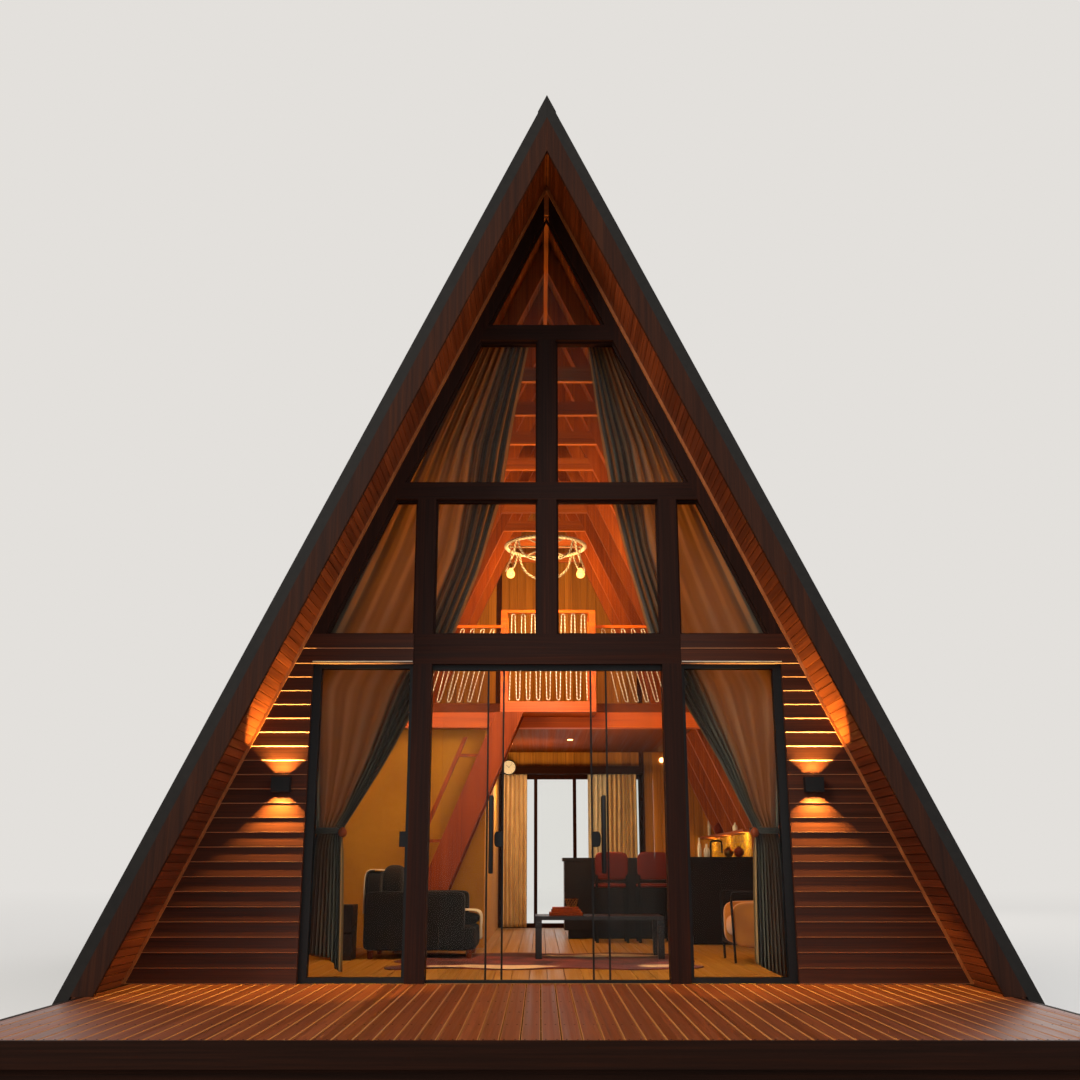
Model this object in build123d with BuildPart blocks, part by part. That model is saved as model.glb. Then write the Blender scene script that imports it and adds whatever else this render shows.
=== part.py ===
"""
An a-frame cabin with a glazed gable, built of timber frames under a steep roof.

Frame: +X to the right of somebody facing the front, +Y into the house, +Z up. The ground
is Z = 0, and the origin lies under the middle of the whole building. Millimetres.
Heights called h are above the floor, and depths called v are behind the front wall's
outer face, so that a piece can be read against both.
"""
import os
from math import atan, cos, pi, sin

from build123d import *

# The roof's triangle, measured on the lining, which is what one sees from inside
floor_top = 200
half_width = 3140
apex_height = 6680

# The row of timber frames
frame_count = 11
frame_pitch = 830
rafter_width = 60
rafter_depth = 150
ridge_board = 40
tie_thickness = 50
tie_share = 0.774
tie_bottom = round(tie_share * apex_height)
tie_depth = 141
tie_top = tie_bottom + tie_depth

# Lengths from front to back
wall_thickness = 150
deck_depth = 2930
front_overhang = 900
back_overhang = 900

# Roof layers
lining_thickness = 22
panel_thickness = 83
barge_thickness = 40
barge_drop = 110
cap_reach = 160
cap_thickness = 6

# Floor and deck
slab_height = 170
deck_inset = 40
deck_half_width = half_width - deck_inset
deck_board = 35
fascia_thickness = 30
fascia_height = 130
joist_width = 45
joist_count = 6
corner_gap = 1

# Glazed front wall
post_width = 150
post_offset = 985
centre_post_width = 155
header_bottom = 2373
header_top = 2615
middle_beam_share = 0.56
middle_beam_bottom = round(middle_beam_share * apex_height)
middle_beam_depth = 147
middle_beam_top = middle_beam_bottom + middle_beam_depth
gable_frame_depth = 130
glass = 10
gable_glass_depth = 70

# Side windows beside the doors
side_wall_width = 1290
window_outer = half_width - side_wall_width
window_jamb = 65
window_stile = 25
window_sill = 40
window_head = 30
window_frame_depth = 80
window_frame_front = 30
side_glass_depth = 65

# Sliding glass doors
fixed_edge = 457
leaf_edge = 337
leaf_width = 482
fixed_leaf_depth = 60
sliding_leaf_depth = 85
track_front = 50
track_back = 110
floor_track_height = 20
head_track_height = 40
track_web = 5
head_track_web = 10
slot_clearance = 5
seat_gap = 0.3
leaf_lift = 20
closed_gap = 3

# Door hardware
pull_offset = 433
pull_radius = 16
pull_bottom = 780
pull_top = 1360
pull_standoff = 41
pull_foot_radius = 8
pull_foot_inset = 100
lock_width = 72
lock_height = 115
lock_thickness = 12
lock_corner = 34
lock_centre = 1033
side_lock_reach = 48

# Wall lamps
lamp_from_window = 185
lamp_offset = window_outer + lamp_from_window
lamp_centre = 1435
lamp_width = 140
lamp_height = 110
lamp_depth = 95
lamp_bore = 45
lamp_bore_depth = 25

# Back wall
back_left = -650
back_right = 1450
back_opening_height = 2140
back_frame = 60
back_frame_depth = 80
back_mullions = (-120, 450)
back_mullion_width = 50

# Loft, its landing and guard
loft_front = 3700
loft_top = 2565
loft_thickness = 100
loft_beam_height = 165
loft_beam_width = 150
landing_depth = 450
landing_left = -478
landing_right = 541
landing_top = 2525
landing_thickness = 110
guard_post = 70
guard_post_depth = 60
guard_top = 3516
guard_rail = 30
side_rail_top = 3444
side_rail_width = 40

# Steep stair up to the landing
stair_foot = -1396
stair_rise_per_run = 2.374
stringer_run = 290
stringer_thickness = 40
tread_count = 10
tread_thickness = 30
tread_setback = 20
rail_offset = 190
rail_size = 40
rail_bottom = 900
rail_top = 2150
rail_bracket = 30

# Room under the loft
partition_front = 4000
partition_thickness = 100
partition_end = -660

# Chandelier
chandelier_frame = 3
ring_radius = 410
ring_tube = 18
ring_height = 4040
hub_radius = 35
hub_height = 60
stem_radius = 8
spoke_radius = 6
spoke_count = 6
bulb_count = 3
bulb_radius = 42
bulb_drop = 340
bulb_cord_radius = 5
bulb_profile = ((0, -1), (0.7, -0.7), (1, 0), (0.7, 0.7))

# Curtains
drape_front = 195
drape_thickness = 80
drape_top = tie_bottom + tie_depth / 2
floor_gap = 15
# Points of a drape's inner edge from the top down, then of its tail back up to the tie:
# each a share of the house's half width there, and a height
drape_edge = (
    (0.25, drape_top), (0.35, 3820), (0.41, 2670), (0.52, 2200), (0.615, 1100), (0.49, floor_gap),
)
drape_tail = ((0.59, floor_gap), (0.69, 1100))
drape_rail = 25
drape_rail_width = 50
drape_rail_low = 2300
soft_gap = 0.3
back_curtain_front = 8140
back_curtain_thickness = 70
back_curtain_spans = ((-590, -245), (926, 1345))
pelmet_height = 110
pelmet_thickness = 190

# Furniture: spans are x_low, x_high, v_low, v_high, and pieces by a side stand off the
# roof's foot by a clearance of their own
sofa_clearance = 1420
sofa_depth = 1060
sofa_left = sofa_clearance - half_width
sofa_span = (sofa_left, sofa_left + sofa_depth, 2400, 3200)
sofa_leg = 70
sofa_base_top = 290
sofa_seat_top = 400
sofa_arm = 130
sofa_arm_top = 605
sofa_nose = 110
sofa_back = 130
sofa_back_top = 790
back_cushion = 200
back_cushion_top = 850
rug_from_sofa = 340
rug_span = (sofa_left + rug_from_sofa, 1350, 1200, 3200)
rug_thickness = 8
table_span = (-100, 1100, 2300, 2850)
table_top = 387
table_thickness = 35
table_leg = 60
counter_clearance = 790
counter_width = 750
counter_left = half_width - counter_clearance - counter_width
counter_span = (counter_left, counter_left + counter_width, 4500, 5450)
bar_clearance = 60
bar_width = 1300
bar_right = counter_left - bar_clearance
bar_span = (bar_right - bar_width, bar_right, 5600, 6150)
counter_height = 940
counter_slab = 40
counter_plinth = 100
counter_plinth_inset = 50
slab_overhang = 20
kitchen_wall_frame = 5
kitchen_wall_thickness = 30
ledge_thickness = 30
ledge_reach = 100
stool_clearances = (830, 340)
stool_centres = [counter_left - clearance for clearance in stool_clearances]
stool_depth = 5040
stool_width = 380
stool_seat_height = 650
stool_seat_thickness = 60
stool_leg = 32
stool_back_bottom = 700
stool_back_top = 1000
stool_back_thickness = 45
chair_clearance = 900
chair_width = 600
chair_right = half_width - chair_clearance
chair_span = (chair_right - chair_width, chair_right, 1760, 2400)
chair_leg = 130
chair_seat_top = 420
chair_back_top = 640
chair_back = 140
chair_arm = 110
chair_arm_top = 540
crate_clearance = 1160
crate_width = 180
crate_left = crate_clearance - half_width
crate_span = (crate_left, crate_left + crate_width, 2250, 2550)
crate_height = 488
clock_centre = -510
clock_height = 2230
clock_radius = 110
clock_thickness = 35

# Worked out from the sizes above
slope = half_width / apex_height
pitch = atan(slope)
house_length = (frame_count - 1) * frame_pitch + wall_thickness
total_length = deck_depth + house_length + back_overhang
front_face = deck_depth - total_length / 2
panel_outer = -(lining_thickness + panel_thickness)
sides = (-1, 1)
side_names = {-1: "left", 1: "right"}


def y_at(v):
    """Place in Y of a depth behind the front wall's outer face."""
    return front_face + v


def z_at(h):
    """Place in Z of a height above the floor."""
    return floor_top + h


def roof_x(h, inset=0):
    """Half width of the house at height h, inset square to the lining (negative outwards)."""
    return (apex_height - h) * slope - inset / cos(pitch)


def roof_h(x, inset=0):
    """Height above the floor of the roof's slope at this half width and inset."""
    return apex_height - (x + inset / cos(pitch)) / slope


def roof_peak(inset=0):
    """Height above the floor where the two planes at this inset meet."""
    return roof_h(0, inset)


def frame_depth(index):
    """Depth of a timber frame's middle behind the front wall's outer face."""
    return wall_thickness / 2 + index * frame_pitch


def add_front_view(outline, v_low, v_high):
    """In a part: an outline of (x, h) points as seen from the front, from v_low to v_high."""
    points = [(x, z_at(h)) for x, h in outline]
    with BuildSketch(Plane.XZ.offset(-y_at(v_low))) as profile:
        with BuildLine():
            Polyline(*points, close=True)
        make_face()
    extrude(profile.sketch, amount=v_low - v_high)


def add_block(x_low, x_high, v_low, v_high, h_low, h_high, mode=Mode.ADD):
    """In a part: a block between two places along each axis."""
    with BuildSketch(Plane.XY.offset(z_at(h_low))) as profile:
        with Locations(((x_low + x_high) / 2, y_at((v_low + v_high) / 2))):
            Rectangle(x_high - x_low, v_high - v_low)
    extrude(profile.sketch, amount=h_high - h_low, mode=mode)


def add_rod(x, v, h_low, h_high, radius):
    """In a part: an upright round rod."""
    with BuildSketch(Plane.XY.offset(z_at(h_low))) as profile:
        with Locations((x, y_at(v))):
            Circle(radius)
    extrude(profile.sketch, amount=h_high - h_low)


def slope_strip(side, inset_low, inset_high, h_low, x_cut=corner_gap / 2):
    """Outline of a sloped layer between two insets, from h_low up to x_cut off the middle."""
    return [
        (side * roof_x(h_low, inset_low), h_low),
        (side * roof_x(h_low, inset_high), h_low),
        (side * x_cut, roof_h(x_cut, inset_high)),
        (side * x_cut, roof_h(x_cut, inset_low)),
    ]


def level_beam(h_low, h_high, inset):
    """Outline of a level timber whose ends follow the roof's slope at this inset."""
    return [
        (-roof_x(h_low, inset), h_low),
        (roof_x(h_low, inset), h_low),
        (roof_x(h_high, inset), h_high),
        (-roof_x(h_high, inset), h_high),
    ]


def save(piece, name):
    """Label a finished piece and write it to a STEP file of its own."""
    piece.part.label = name
    export_step(piece.part, f"parts/{name}.step")


def make_floor():
    """The slab, the floor on it, and the deck in front on its joists."""
    with BuildPart() as slab:
        add_front_view(level_beam(-floor_top, slab_height - floor_top, 0), 0, house_length)
    save(slab, "floor_slab")

    with BuildPart() as boards:
        add_front_view(level_beam(slab_height - floor_top, 0, 0), 0, house_length)
    save(boards, "floor_boards")

    inner_half = deck_half_width - fascia_thickness
    inner_front = -deck_depth + fascia_thickness
    with BuildPart() as platform:
        add_block(-inner_half, inner_half, inner_front, 0, -deck_board, 0)
    save(platform, "deck_platform")

    joist_step = (-inner_front - joist_width) / (joist_count - 1)
    with BuildPart() as joists:
        for index in range(joist_count):
            v_low = inner_front + index * joist_step
            add_block(-inner_half, inner_half, v_low, v_low + joist_width, -floor_top, -deck_board)
    save(joists, "deck_joists")

    with BuildPart() as fascia:
        add_block(-deck_half_width, deck_half_width, -deck_depth, inner_front, -fascia_height, 0)
        for side in sides:
            x_low, x_high = sorted((side * inner_half, side * deck_half_width))
            add_block(x_low, x_high, inner_front + corner_gap, 0, -fascia_height, 0)
    save(fascia, "deck_fascia")


def make_frames():
    """Rafters, ridge board and collar ties of the frames between the two end walls."""
    inner_frames = range(1, frame_count - 1)
    with BuildPart() as rafters:
        for side in sides:
            for index in inner_frames:
                middle = frame_depth(index)
                outline = slope_strip(side, 0, rafter_depth, 0, ridge_board / 2)
                add_front_view(outline, middle - rafter_width / 2, middle + rafter_width / 2)
    save(rafters, "rafters")

    half_ridge = ridge_board / 2
    ridge_low = roof_peak(gable_frame_depth)
    with BuildPart() as ridge:
        outline = [
            (-half_ridge, ridge_low),
            (half_ridge, ridge_low),
            (half_ridge, roof_h(half_ridge)),
            (0, roof_peak()),
            (-half_ridge, roof_h(half_ridge)),
        ]
        add_front_view(outline, 0, house_length - wall_thickness)
    save(ridge, "ridge_board")

    with BuildPart() as ties:
        for index in inner_frames:
            middle = frame_depth(index)
            outline = level_beam(tie_bottom, tie_top, rafter_depth)
            add_front_view(outline, middle - tie_thickness / 2, middle + tie_thickness / 2)
    save(ties, "collar_ties")


def make_roof():
    """Lining, roof panels down to the ground, boards at the verges and the ridge cap."""
    v_front = -front_overhang
    v_back = house_length + back_overhang
    with BuildPart() as lining:
        for side in sides:
            outline = slope_strip(side, 0, -lining_thickness, -floor_top)
            add_front_view(outline, v_front + barge_thickness, v_back - barge_thickness)
    save(lining, "ceiling_lining")

    with BuildPart() as panels:
        for side in sides:
            outline = slope_strip(side, -lining_thickness, panel_outer, -floor_top)
            add_front_view(outline, v_front, v_back)
    save(panels, "roof_panels")

    with BuildPart() as bargeboards:
        for side in sides:
            outline = slope_strip(side, barge_drop, -lining_thickness, 0)
            add_front_view(outline, v_front, v_front + barge_thickness)
            add_front_view(outline, v_back - barge_thickness, v_back)
    save(bargeboards, "bargeboards")

    cap_outer = panel_outer - cap_thickness
    cap_low = roof_peak(panel_outer) - cap_reach * cos(pitch)
    with BuildPart() as cap:
        outline = [
            (-roof_x(cap_low, panel_outer), cap_low),
            (0, roof_peak(panel_outer)),
            (roof_x(cap_low, panel_outer), cap_low),
            (roof_x(cap_low, cap_outer), cap_low),
            (0, roof_peak(cap_outer)),
            (-roof_x(cap_low, cap_outer), cap_low),
        ]
        add_front_view(outline, v_front, v_back)
    save(cap, "ridge_cap")


def make_front_wall():
    """Posts, beams, glass and boarded walls of the glazed front."""
    post_inner = post_offset - post_width / 2
    post_outer = post_offset + post_width / 2
    half_centre = centre_post_width / 2
    with BuildPart() as posts:
        for side in sides:
            x_low, x_high = sorted((side * post_inner, side * post_outer))
            add_block(x_low, x_high, 0, wall_thickness, 0, header_bottom)
            add_block(x_low, x_high, 0, wall_thickness, header_top, middle_beam_bottom)
        add_block(-half_centre, half_centre, 0, wall_thickness, header_top, middle_beam_bottom)
        add_block(-half_centre, half_centre, 0, wall_thickness, middle_beam_top, tie_bottom)
    save(posts, "front_posts")

    with BuildPart() as beams:
        add_block(-post_outer, post_outer, 0, wall_thickness, header_bottom, header_top)
        for h_low, h_high in ((middle_beam_bottom, middle_beam_top), (tie_bottom, tie_top)):
            add_front_view(level_beam(h_low, h_high, gable_frame_depth), 0, wall_thickness)
    save(beams, "front_beams")

    with BuildPart() as gable_frame:
        for side in sides:
            outline = slope_strip(side, gable_frame_depth, 0, header_top, ridge_board / 2)
            add_front_view(outline, 0, wall_thickness)
    save(gable_frame, "gable_frame")

    with BuildPart() as walls:
        for side in sides:
            outline = [
                (side * window_outer, 0),
                (side * roof_x(0), 0),
                (side * roof_x(header_bottom), header_bottom),
                (side * window_outer, header_bottom),
            ]
            add_front_view(outline, 0, wall_thickness)
    save(walls, "front_walls")

    with BuildPart() as spandrels:
        for side in sides:
            outline = [
                (side * post_outer, header_bottom),
                (side * roof_x(header_bottom), header_bottom),
                (side * roof_x(header_top), header_top),
                (side * post_outer, header_top),
            ]
            add_front_view(outline, 0, wall_thickness)
    save(spandrels, "front_spandrels")

    glass_back = gable_glass_depth + glass
    with BuildPart() as gable_glass:
        for side in sides:
            inner_pane = [
                (side * half_centre, header_top),
                (side * post_inner, header_top),
                (side * post_inner, middle_beam_bottom),
                (side * half_centre, middle_beam_bottom),
            ]
            outer_pane = [
                (side * post_outer, header_top),
                (side * roof_x(header_top, gable_frame_depth), header_top),
                (side * roof_x(middle_beam_bottom, gable_frame_depth), middle_beam_bottom),
                (side * post_outer, middle_beam_bottom),
            ]
            upper_pane = [
                (side * half_centre, middle_beam_top),
                (side * roof_x(middle_beam_top, gable_frame_depth), middle_beam_top),
                (side * roof_x(tie_bottom, gable_frame_depth), tie_bottom),
                (side * half_centre, tie_bottom),
            ]
            for pane in (inner_pane, outer_pane, upper_pane):
                add_front_view(pane, gable_glass_depth, glass_back)
        apex_pane = [
            (-roof_x(tie_top, gable_frame_depth), tie_top),
            (roof_x(tie_top, gable_frame_depth), tie_top),
            (0, roof_peak(gable_frame_depth)),
        ]
        add_front_view(apex_pane, gable_glass_depth, glass_back)
    save(gable_glass, "gable_glass")


def make_side_windows():
    """The tall windows between the door posts and the boarded walls."""
    inner = post_offset + post_width / 2
    glass_inner = inner + window_stile
    glass_outer = window_outer - window_jamb
    glass_top = header_bottom - window_head
    frame_back = window_frame_front + window_frame_depth
    with BuildPart() as frames:
        for side in sides:
            x_low, x_high = sorted((side * inner, side * window_outer))
            add_block(x_low, x_high, window_frame_front, frame_back, 0, header_bottom)
        for side in sides:
            x_low, x_high = sorted((side * glass_inner, side * glass_outer))
            add_block(x_low, x_high, window_frame_front, frame_back, window_sill, glass_top,
                      mode=Mode.SUBTRACT)
        lock_low = lock_centre - lock_height / 2
        add_block(-glass_inner - side_lock_reach, -glass_inner, side_glass_depth - lock_thickness,
                  side_glass_depth, lock_low, lock_low + lock_height)
    save(frames, "side_window_frames")

    with BuildPart() as panes:
        for side in sides:
            x_low, x_high = sorted((side * glass_inner, side * glass_outer))
            add_block(x_low, x_high, side_glass_depth, side_glass_depth + glass, window_sill, glass_top)
    save(panes, "side_glass")


def make_doors():
    """Tracks, fixed leaves and the two sliding leaves with their pulls and locks."""
    opening = post_offset - post_width / 2
    slots = (
        (fixed_leaf_depth, fixed_leaf_depth + glass),
        (sliding_leaf_depth - slot_clearance, sliding_leaf_depth + glass + slot_clearance),
    )
    head_track_bottom = header_bottom - head_track_height
    with BuildPart() as tracks:
        add_block(-opening, opening, track_front, track_back, 0, floor_track_height)
        add_block(-opening, opening, track_front, track_back, head_track_bottom, header_bottom)
        for v_low, v_high in slots:
            add_block(-opening, opening, v_low, v_high, track_web, floor_track_height,
                      mode=Mode.SUBTRACT)
            add_block(-opening, opening, v_low, v_high, head_track_bottom,
                      header_bottom - head_track_web, mode=Mode.SUBTRACT)
    save(tracks, "door_tracks")

    with BuildPart() as fixed_leaves:
        for side in sides:
            x_low, x_high = sorted((side * fixed_edge, side * opening))
            add_block(x_low, x_high, fixed_leaf_depth, fixed_leaf_depth + glass,
                      track_web, header_bottom - head_track_web)
    save(fixed_leaves, "fixed_leaves")

    leaf_back = sliding_leaf_depth + glass
    for side in sides:
        with BuildPart() as leaf:
            x_low, x_high = sorted((side * leaf_edge, side * (leaf_edge + leaf_width)))
            add_block(x_low, x_high, sliding_leaf_depth, leaf_back, track_web + seat_gap,
                      head_track_bottom + leaf_lift)
        save(leaf, f"sliding_leaf_{side_names[side]}")

        with BuildPart() as hardware:
            for face, outward in ((sliding_leaf_depth, -1), (leaf_back, 1)):
                bar_v = face + outward * (pull_standoff + pull_radius)
                add_rod(side * pull_offset, bar_v, pull_bottom, pull_top, pull_radius)
                for h in (pull_bottom + pull_foot_inset, pull_top - pull_foot_inset):
                    with BuildSketch(Plane.XZ.offset(-y_at(face))):
                        with Locations((side * pull_offset, z_at(h))):
                            Circle(pull_foot_radius)
                    extrude(amount=-outward * (pull_standoff + pull_radius))
                with BuildSketch(Plane.XZ.offset(-y_at(face))) as lock_face:
                    with Locations((side * (leaf_edge + lock_width / 2), z_at(lock_centre))):
                        Rectangle(lock_width, lock_height)
                    outer_corners = lock_face.vertices().sort_by(Axis.X)
                    rounded = outer_corners[:2] if side < 0 else outer_corners[-2:]
                    fillet(rounded, lock_corner)
                extrude(amount=-outward * lock_thickness)
        save(hardware, f"door_pull_{side_names[side]}")


def make_lamps():
    """Up and down lights on the boarded walls, with a recess for the lamp at each end."""
    with BuildPart() as lamps:
        for side in sides:
            middle = side * lamp_offset
            low = lamp_centre - lamp_height / 2
            add_block(middle - lamp_width / 2, middle + lamp_width / 2, -lamp_depth, 0,
                      low, low + lamp_height)
            for h_low in (low, low + lamp_height - lamp_bore_depth):
                with BuildSketch(Plane.XY.offset(z_at(h_low))):
                    with Locations((middle, y_at(-lamp_depth / 2))):
                        Circle(lamp_bore / 2)
                extrude(amount=lamp_bore_depth, mode=Mode.SUBTRACT)
    save(lamps, "wall_lamps")


def make_back_wall():
    """The boarded back wall round a glazed opening."""
    back_outer = house_length
    back_inner = house_length - wall_thickness
    top = back_opening_height
    with BuildPart() as walls:
        for side, edge in ((-1, back_left), (1, back_right)):
            outline = [(edge, 0), (side * roof_x(0), 0), (side * roof_x(top), top), (edge, top)]
            add_front_view(outline, back_inner, back_outer)
    save(walls, "back_walls")

    with BuildPart() as gable:
        outline = [(-roof_x(top), top), (roof_x(top), top), (0, apex_height)]
        add_front_view(outline, back_inner, back_outer)
    save(gable, "back_gable")

    frame_front = back_inner + (wall_thickness - back_frame_depth) / 2
    frame_back = frame_front + back_frame_depth
    edges = [back_left + back_frame]
    for middle in back_mullions:
        edges += [middle - back_mullion_width / 2, middle + back_mullion_width / 2]
    edges.append(back_right - back_frame)
    panes = list(zip(edges[0::2], edges[1::2]))
    with BuildPart() as frame:
        add_block(back_left, back_right, frame_front, frame_back, 0, top)
        for x_low, x_high in panes:
            add_block(x_low, x_high, frame_front, frame_back, back_frame, top - back_frame,
                      mode=Mode.SUBTRACT)
    save(frame, "back_window_frame")

    glass_front = back_inner + (wall_thickness - glass) / 2
    with BuildPart() as back_glass:
        for x_low, x_high in panes:
            add_block(x_low, x_high, glass_front, glass_front + glass, back_frame, top - back_frame)
    save(back_glass, "back_glass")


def make_loft():
    """Loft floor on its beam, the landing in front and the guard round the edge."""
    back_inner = house_length - wall_thickness
    loft_bottom = loft_top - loft_thickness
    beam_bottom = loft_bottom - loft_beam_height
    landing_front = loft_front - landing_depth
    with BuildPart() as floor:
        add_front_view(level_beam(loft_bottom, loft_top, rafter_depth), loft_front, back_inner)
    save(floor, "loft_floor")

    with BuildPart() as beam:
        outline = level_beam(beam_bottom, loft_bottom, 0)
        add_front_view(outline, loft_front, loft_front + loft_beam_width)
    save(beam, "loft_beam")

    with BuildPart() as landing:
        add_block(landing_left, landing_right, landing_front, loft_front,
                  landing_top - landing_thickness, landing_top)
    save(landing, "stair_landing")

    post_spans = (
        (landing_left, landing_left + guard_post),
        (landing_right - guard_post, landing_right),
    )
    rail_low = guard_top - guard_rail
    rail_side = (guard_post_depth - side_rail_width) / 2
    front_back = landing_front + guard_post_depth
    rear_back = loft_front + guard_post_depth
    with BuildPart() as guard:
        for x_low, x_high in post_spans:
            add_block(x_low, x_high, landing_front, front_back, landing_top, guard_top)
            add_block(x_low, x_high, loft_front, rear_back, loft_top, guard_top)
        add_block(landing_left, landing_right, landing_front, front_back, rail_low, guard_top)
        add_block(landing_right - guard_post, landing_right, landing_front, rear_back,
                  rail_low, guard_top)
        for side, post_edge in ((-1, landing_left), (1, landing_right)):
            side_rail_low = side_rail_top - guard_rail
            outline = [
                (post_edge, side_rail_low),
                (side * roof_x(side_rail_low), side_rail_low),
                (side * roof_x(side_rail_top), side_rail_top),
                (post_edge, side_rail_top),
            ]
            add_front_view(outline, loft_front + rail_side, loft_front + rail_side + side_rail_width)
    save(guard, "loft_guard")


def stair_x(h):
    """Middle of the stair's slope at height h."""
    return stair_foot + h / stair_rise_per_run


def make_stair():
    """Two stringers with treads between them, and a handrail above the front one."""
    front = loft_front - landing_depth
    rear = loft_front
    top = landing_top - landing_thickness
    half_run = stringer_run / 2
    with BuildPart() as stringers:
        outline = [
            (stair_x(0) - half_run, 0),
            (stair_x(0) + half_run, 0),
            (stair_x(top) + half_run, top),
            (stair_x(top) - half_run, top),
        ]
        add_front_view(outline, front, front + stringer_thickness)
        add_front_view(outline, rear - stringer_thickness, rear)
    save(stringers, "stair_stringers")

    rise = landing_top / (tread_count + 1)
    half_tread = half_run - tread_setback
    with BuildPart() as treads:
        for index in range(tread_count):
            h_high = rise * (index + 1)
            middle = stair_x(h_high - tread_thickness / 2)
            add_block(middle - half_tread, middle + half_tread, front + stringer_thickness,
                      rear - stringer_thickness, h_high - tread_thickness, h_high)
    save(treads, "stair_treads")

    lean = atan(1 / stair_rise_per_run)
    rail_shift = half_run + rail_offset / cos(lean)
    rail_half_run = rail_size / 2 / cos(lean)
    v_low = front
    v_high = front + stringer_thickness
    with BuildPart() as rail:
        outline = [
            (stair_x(rail_bottom) - rail_shift - rail_half_run, rail_bottom),
            (stair_x(rail_bottom) - rail_shift + rail_half_run, rail_bottom),
            (stair_x(rail_top) - rail_shift + rail_half_run, rail_top),
            (stair_x(rail_top) - rail_shift - rail_half_run, rail_top),
        ]
        add_front_view(outline, v_low, v_high)
        for h in (rail_bottom + rail_offset, rail_top - rail_offset):
            h_low = h - rail_bracket / 2
            h_high = h + rail_bracket / 2
            bracket = [
                (stair_x(h_low) - rail_shift, h_low),
                (stair_x(h_low) - half_run, h_low),
                (stair_x(h_high) - half_run, h_high),
                (stair_x(h_high) - rail_shift, h_high),
            ]
            add_front_view(bracket, v_low, v_high)
    save(rail, "stair_rail")


def make_partitions():
    """The two walls of the room under the loft."""
    top = loft_top - loft_thickness
    back_inner = house_length - wall_thickness
    partition_back = partition_front + partition_thickness
    with BuildPart() as front_partition:
        outline = [(-roof_x(0), 0), (partition_end, 0), (partition_end, top), (-roof_x(top), top)]
        add_front_view(outline, partition_front, partition_back)
    save(front_partition, "partition_front")

    with BuildPart() as side_partition:
        add_block(partition_end - partition_thickness, partition_end, partition_back, back_inner, 0, top)
    save(side_partition, "partition_side")


def make_kitchen_wall():
    """A low wall behind the side counter, with a ledge on top and its near end boarded up."""
    face = counter_span[1] + slab_overhang
    back = face + kitchen_wall_thickness
    ledge_bottom = roof_h(back, rafter_depth)
    ledge_top = ledge_bottom + ledge_thickness
    outline = [
        (face, 0),
        (back, 0),
        (back, ledge_bottom),
        (roof_x(ledge_top, rafter_depth), ledge_top),
        (face - ledge_reach, ledge_top),
        (face - ledge_reach, ledge_bottom),
        (face, ledge_bottom),
    ]
    end_panel = [(face, 0), (roof_x(0), 0), (roof_x(ledge_top), ledge_top), (face, ledge_top)]
    v_front = frame_depth(kitchen_wall_frame) + frame_pitch / 2
    with BuildPart() as wall:
        add_front_view(outline, v_front, house_length - wall_thickness)
        add_front_view(end_panel, v_front, v_front + kitchen_wall_thickness)
    save(wall, "kitchen_wall")


def make_chandelier():
    """A wheel of level spokes hung on a stem from a collar tie, with bulbs below its ring."""
    v = frame_depth(chandelier_frame)
    hub_low = ring_height - hub_height / 2
    with BuildPart() as chandelier:
        with BuildSketch(Plane.XY.offset(z_at(ring_height - ring_tube))) as hoop:
            with Locations((0, y_at(v))):
                Circle(ring_radius + ring_tube)
                Circle(ring_radius - ring_tube, mode=Mode.SUBTRACT)
        extrude(hoop.sketch, amount=2 * ring_tube)
        add_rod(0, v, hub_low, hub_low + hub_height, hub_radius)
        add_rod(0, v, hub_low + hub_height, tie_bottom, stem_radius)
        for index in range(spoke_count):
            turn = 2 * pi * index / spoke_count
            inner = hub_radius - spoke_radius * 2
            start = Vector(inner * cos(turn), y_at(v) + inner * sin(turn), z_at(ring_height))
            outwards = Vector(cos(turn), sin(turn), 0)
            with BuildSketch(Plane(origin=start, z_dir=outwards)) as section:
                Circle(spoke_radius)
            extrude(section.sketch, amount=ring_radius - inner)
    save(chandelier, "chandelier")

    cord_top = ring_height - ring_tube
    bulb_middle = ring_height - bulb_drop
    with BuildPart() as bulbs:
        for index in range(bulb_count):
            turn = 2 * pi * index / bulb_count + pi / 2
            x = ring_radius * cos(turn)
            bulb_v = v + ring_radius * sin(turn)
            axis = Axis((x, y_at(bulb_v), 0), (0, 0, 1))
            outline = [(x + bulb_radius * reach, z_at(bulb_middle + bulb_radius * rise))
                       for reach, rise in bulb_profile]
            outline += [
                (x + bulb_cord_radius, z_at(bulb_middle + bulb_radius)),
                (x + bulb_cord_radius, z_at(cord_top)),
                (x, z_at(cord_top)),
            ]
            with BuildSketch(Plane.XZ.offset(-y_at(bulb_v))) as profile:
                with BuildLine():
                    Polyline(*outline, close=True)
                make_face()
            revolve(profile.sketch, axis=axis)
    save(bulbs, "chandelier_bulbs")


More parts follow.
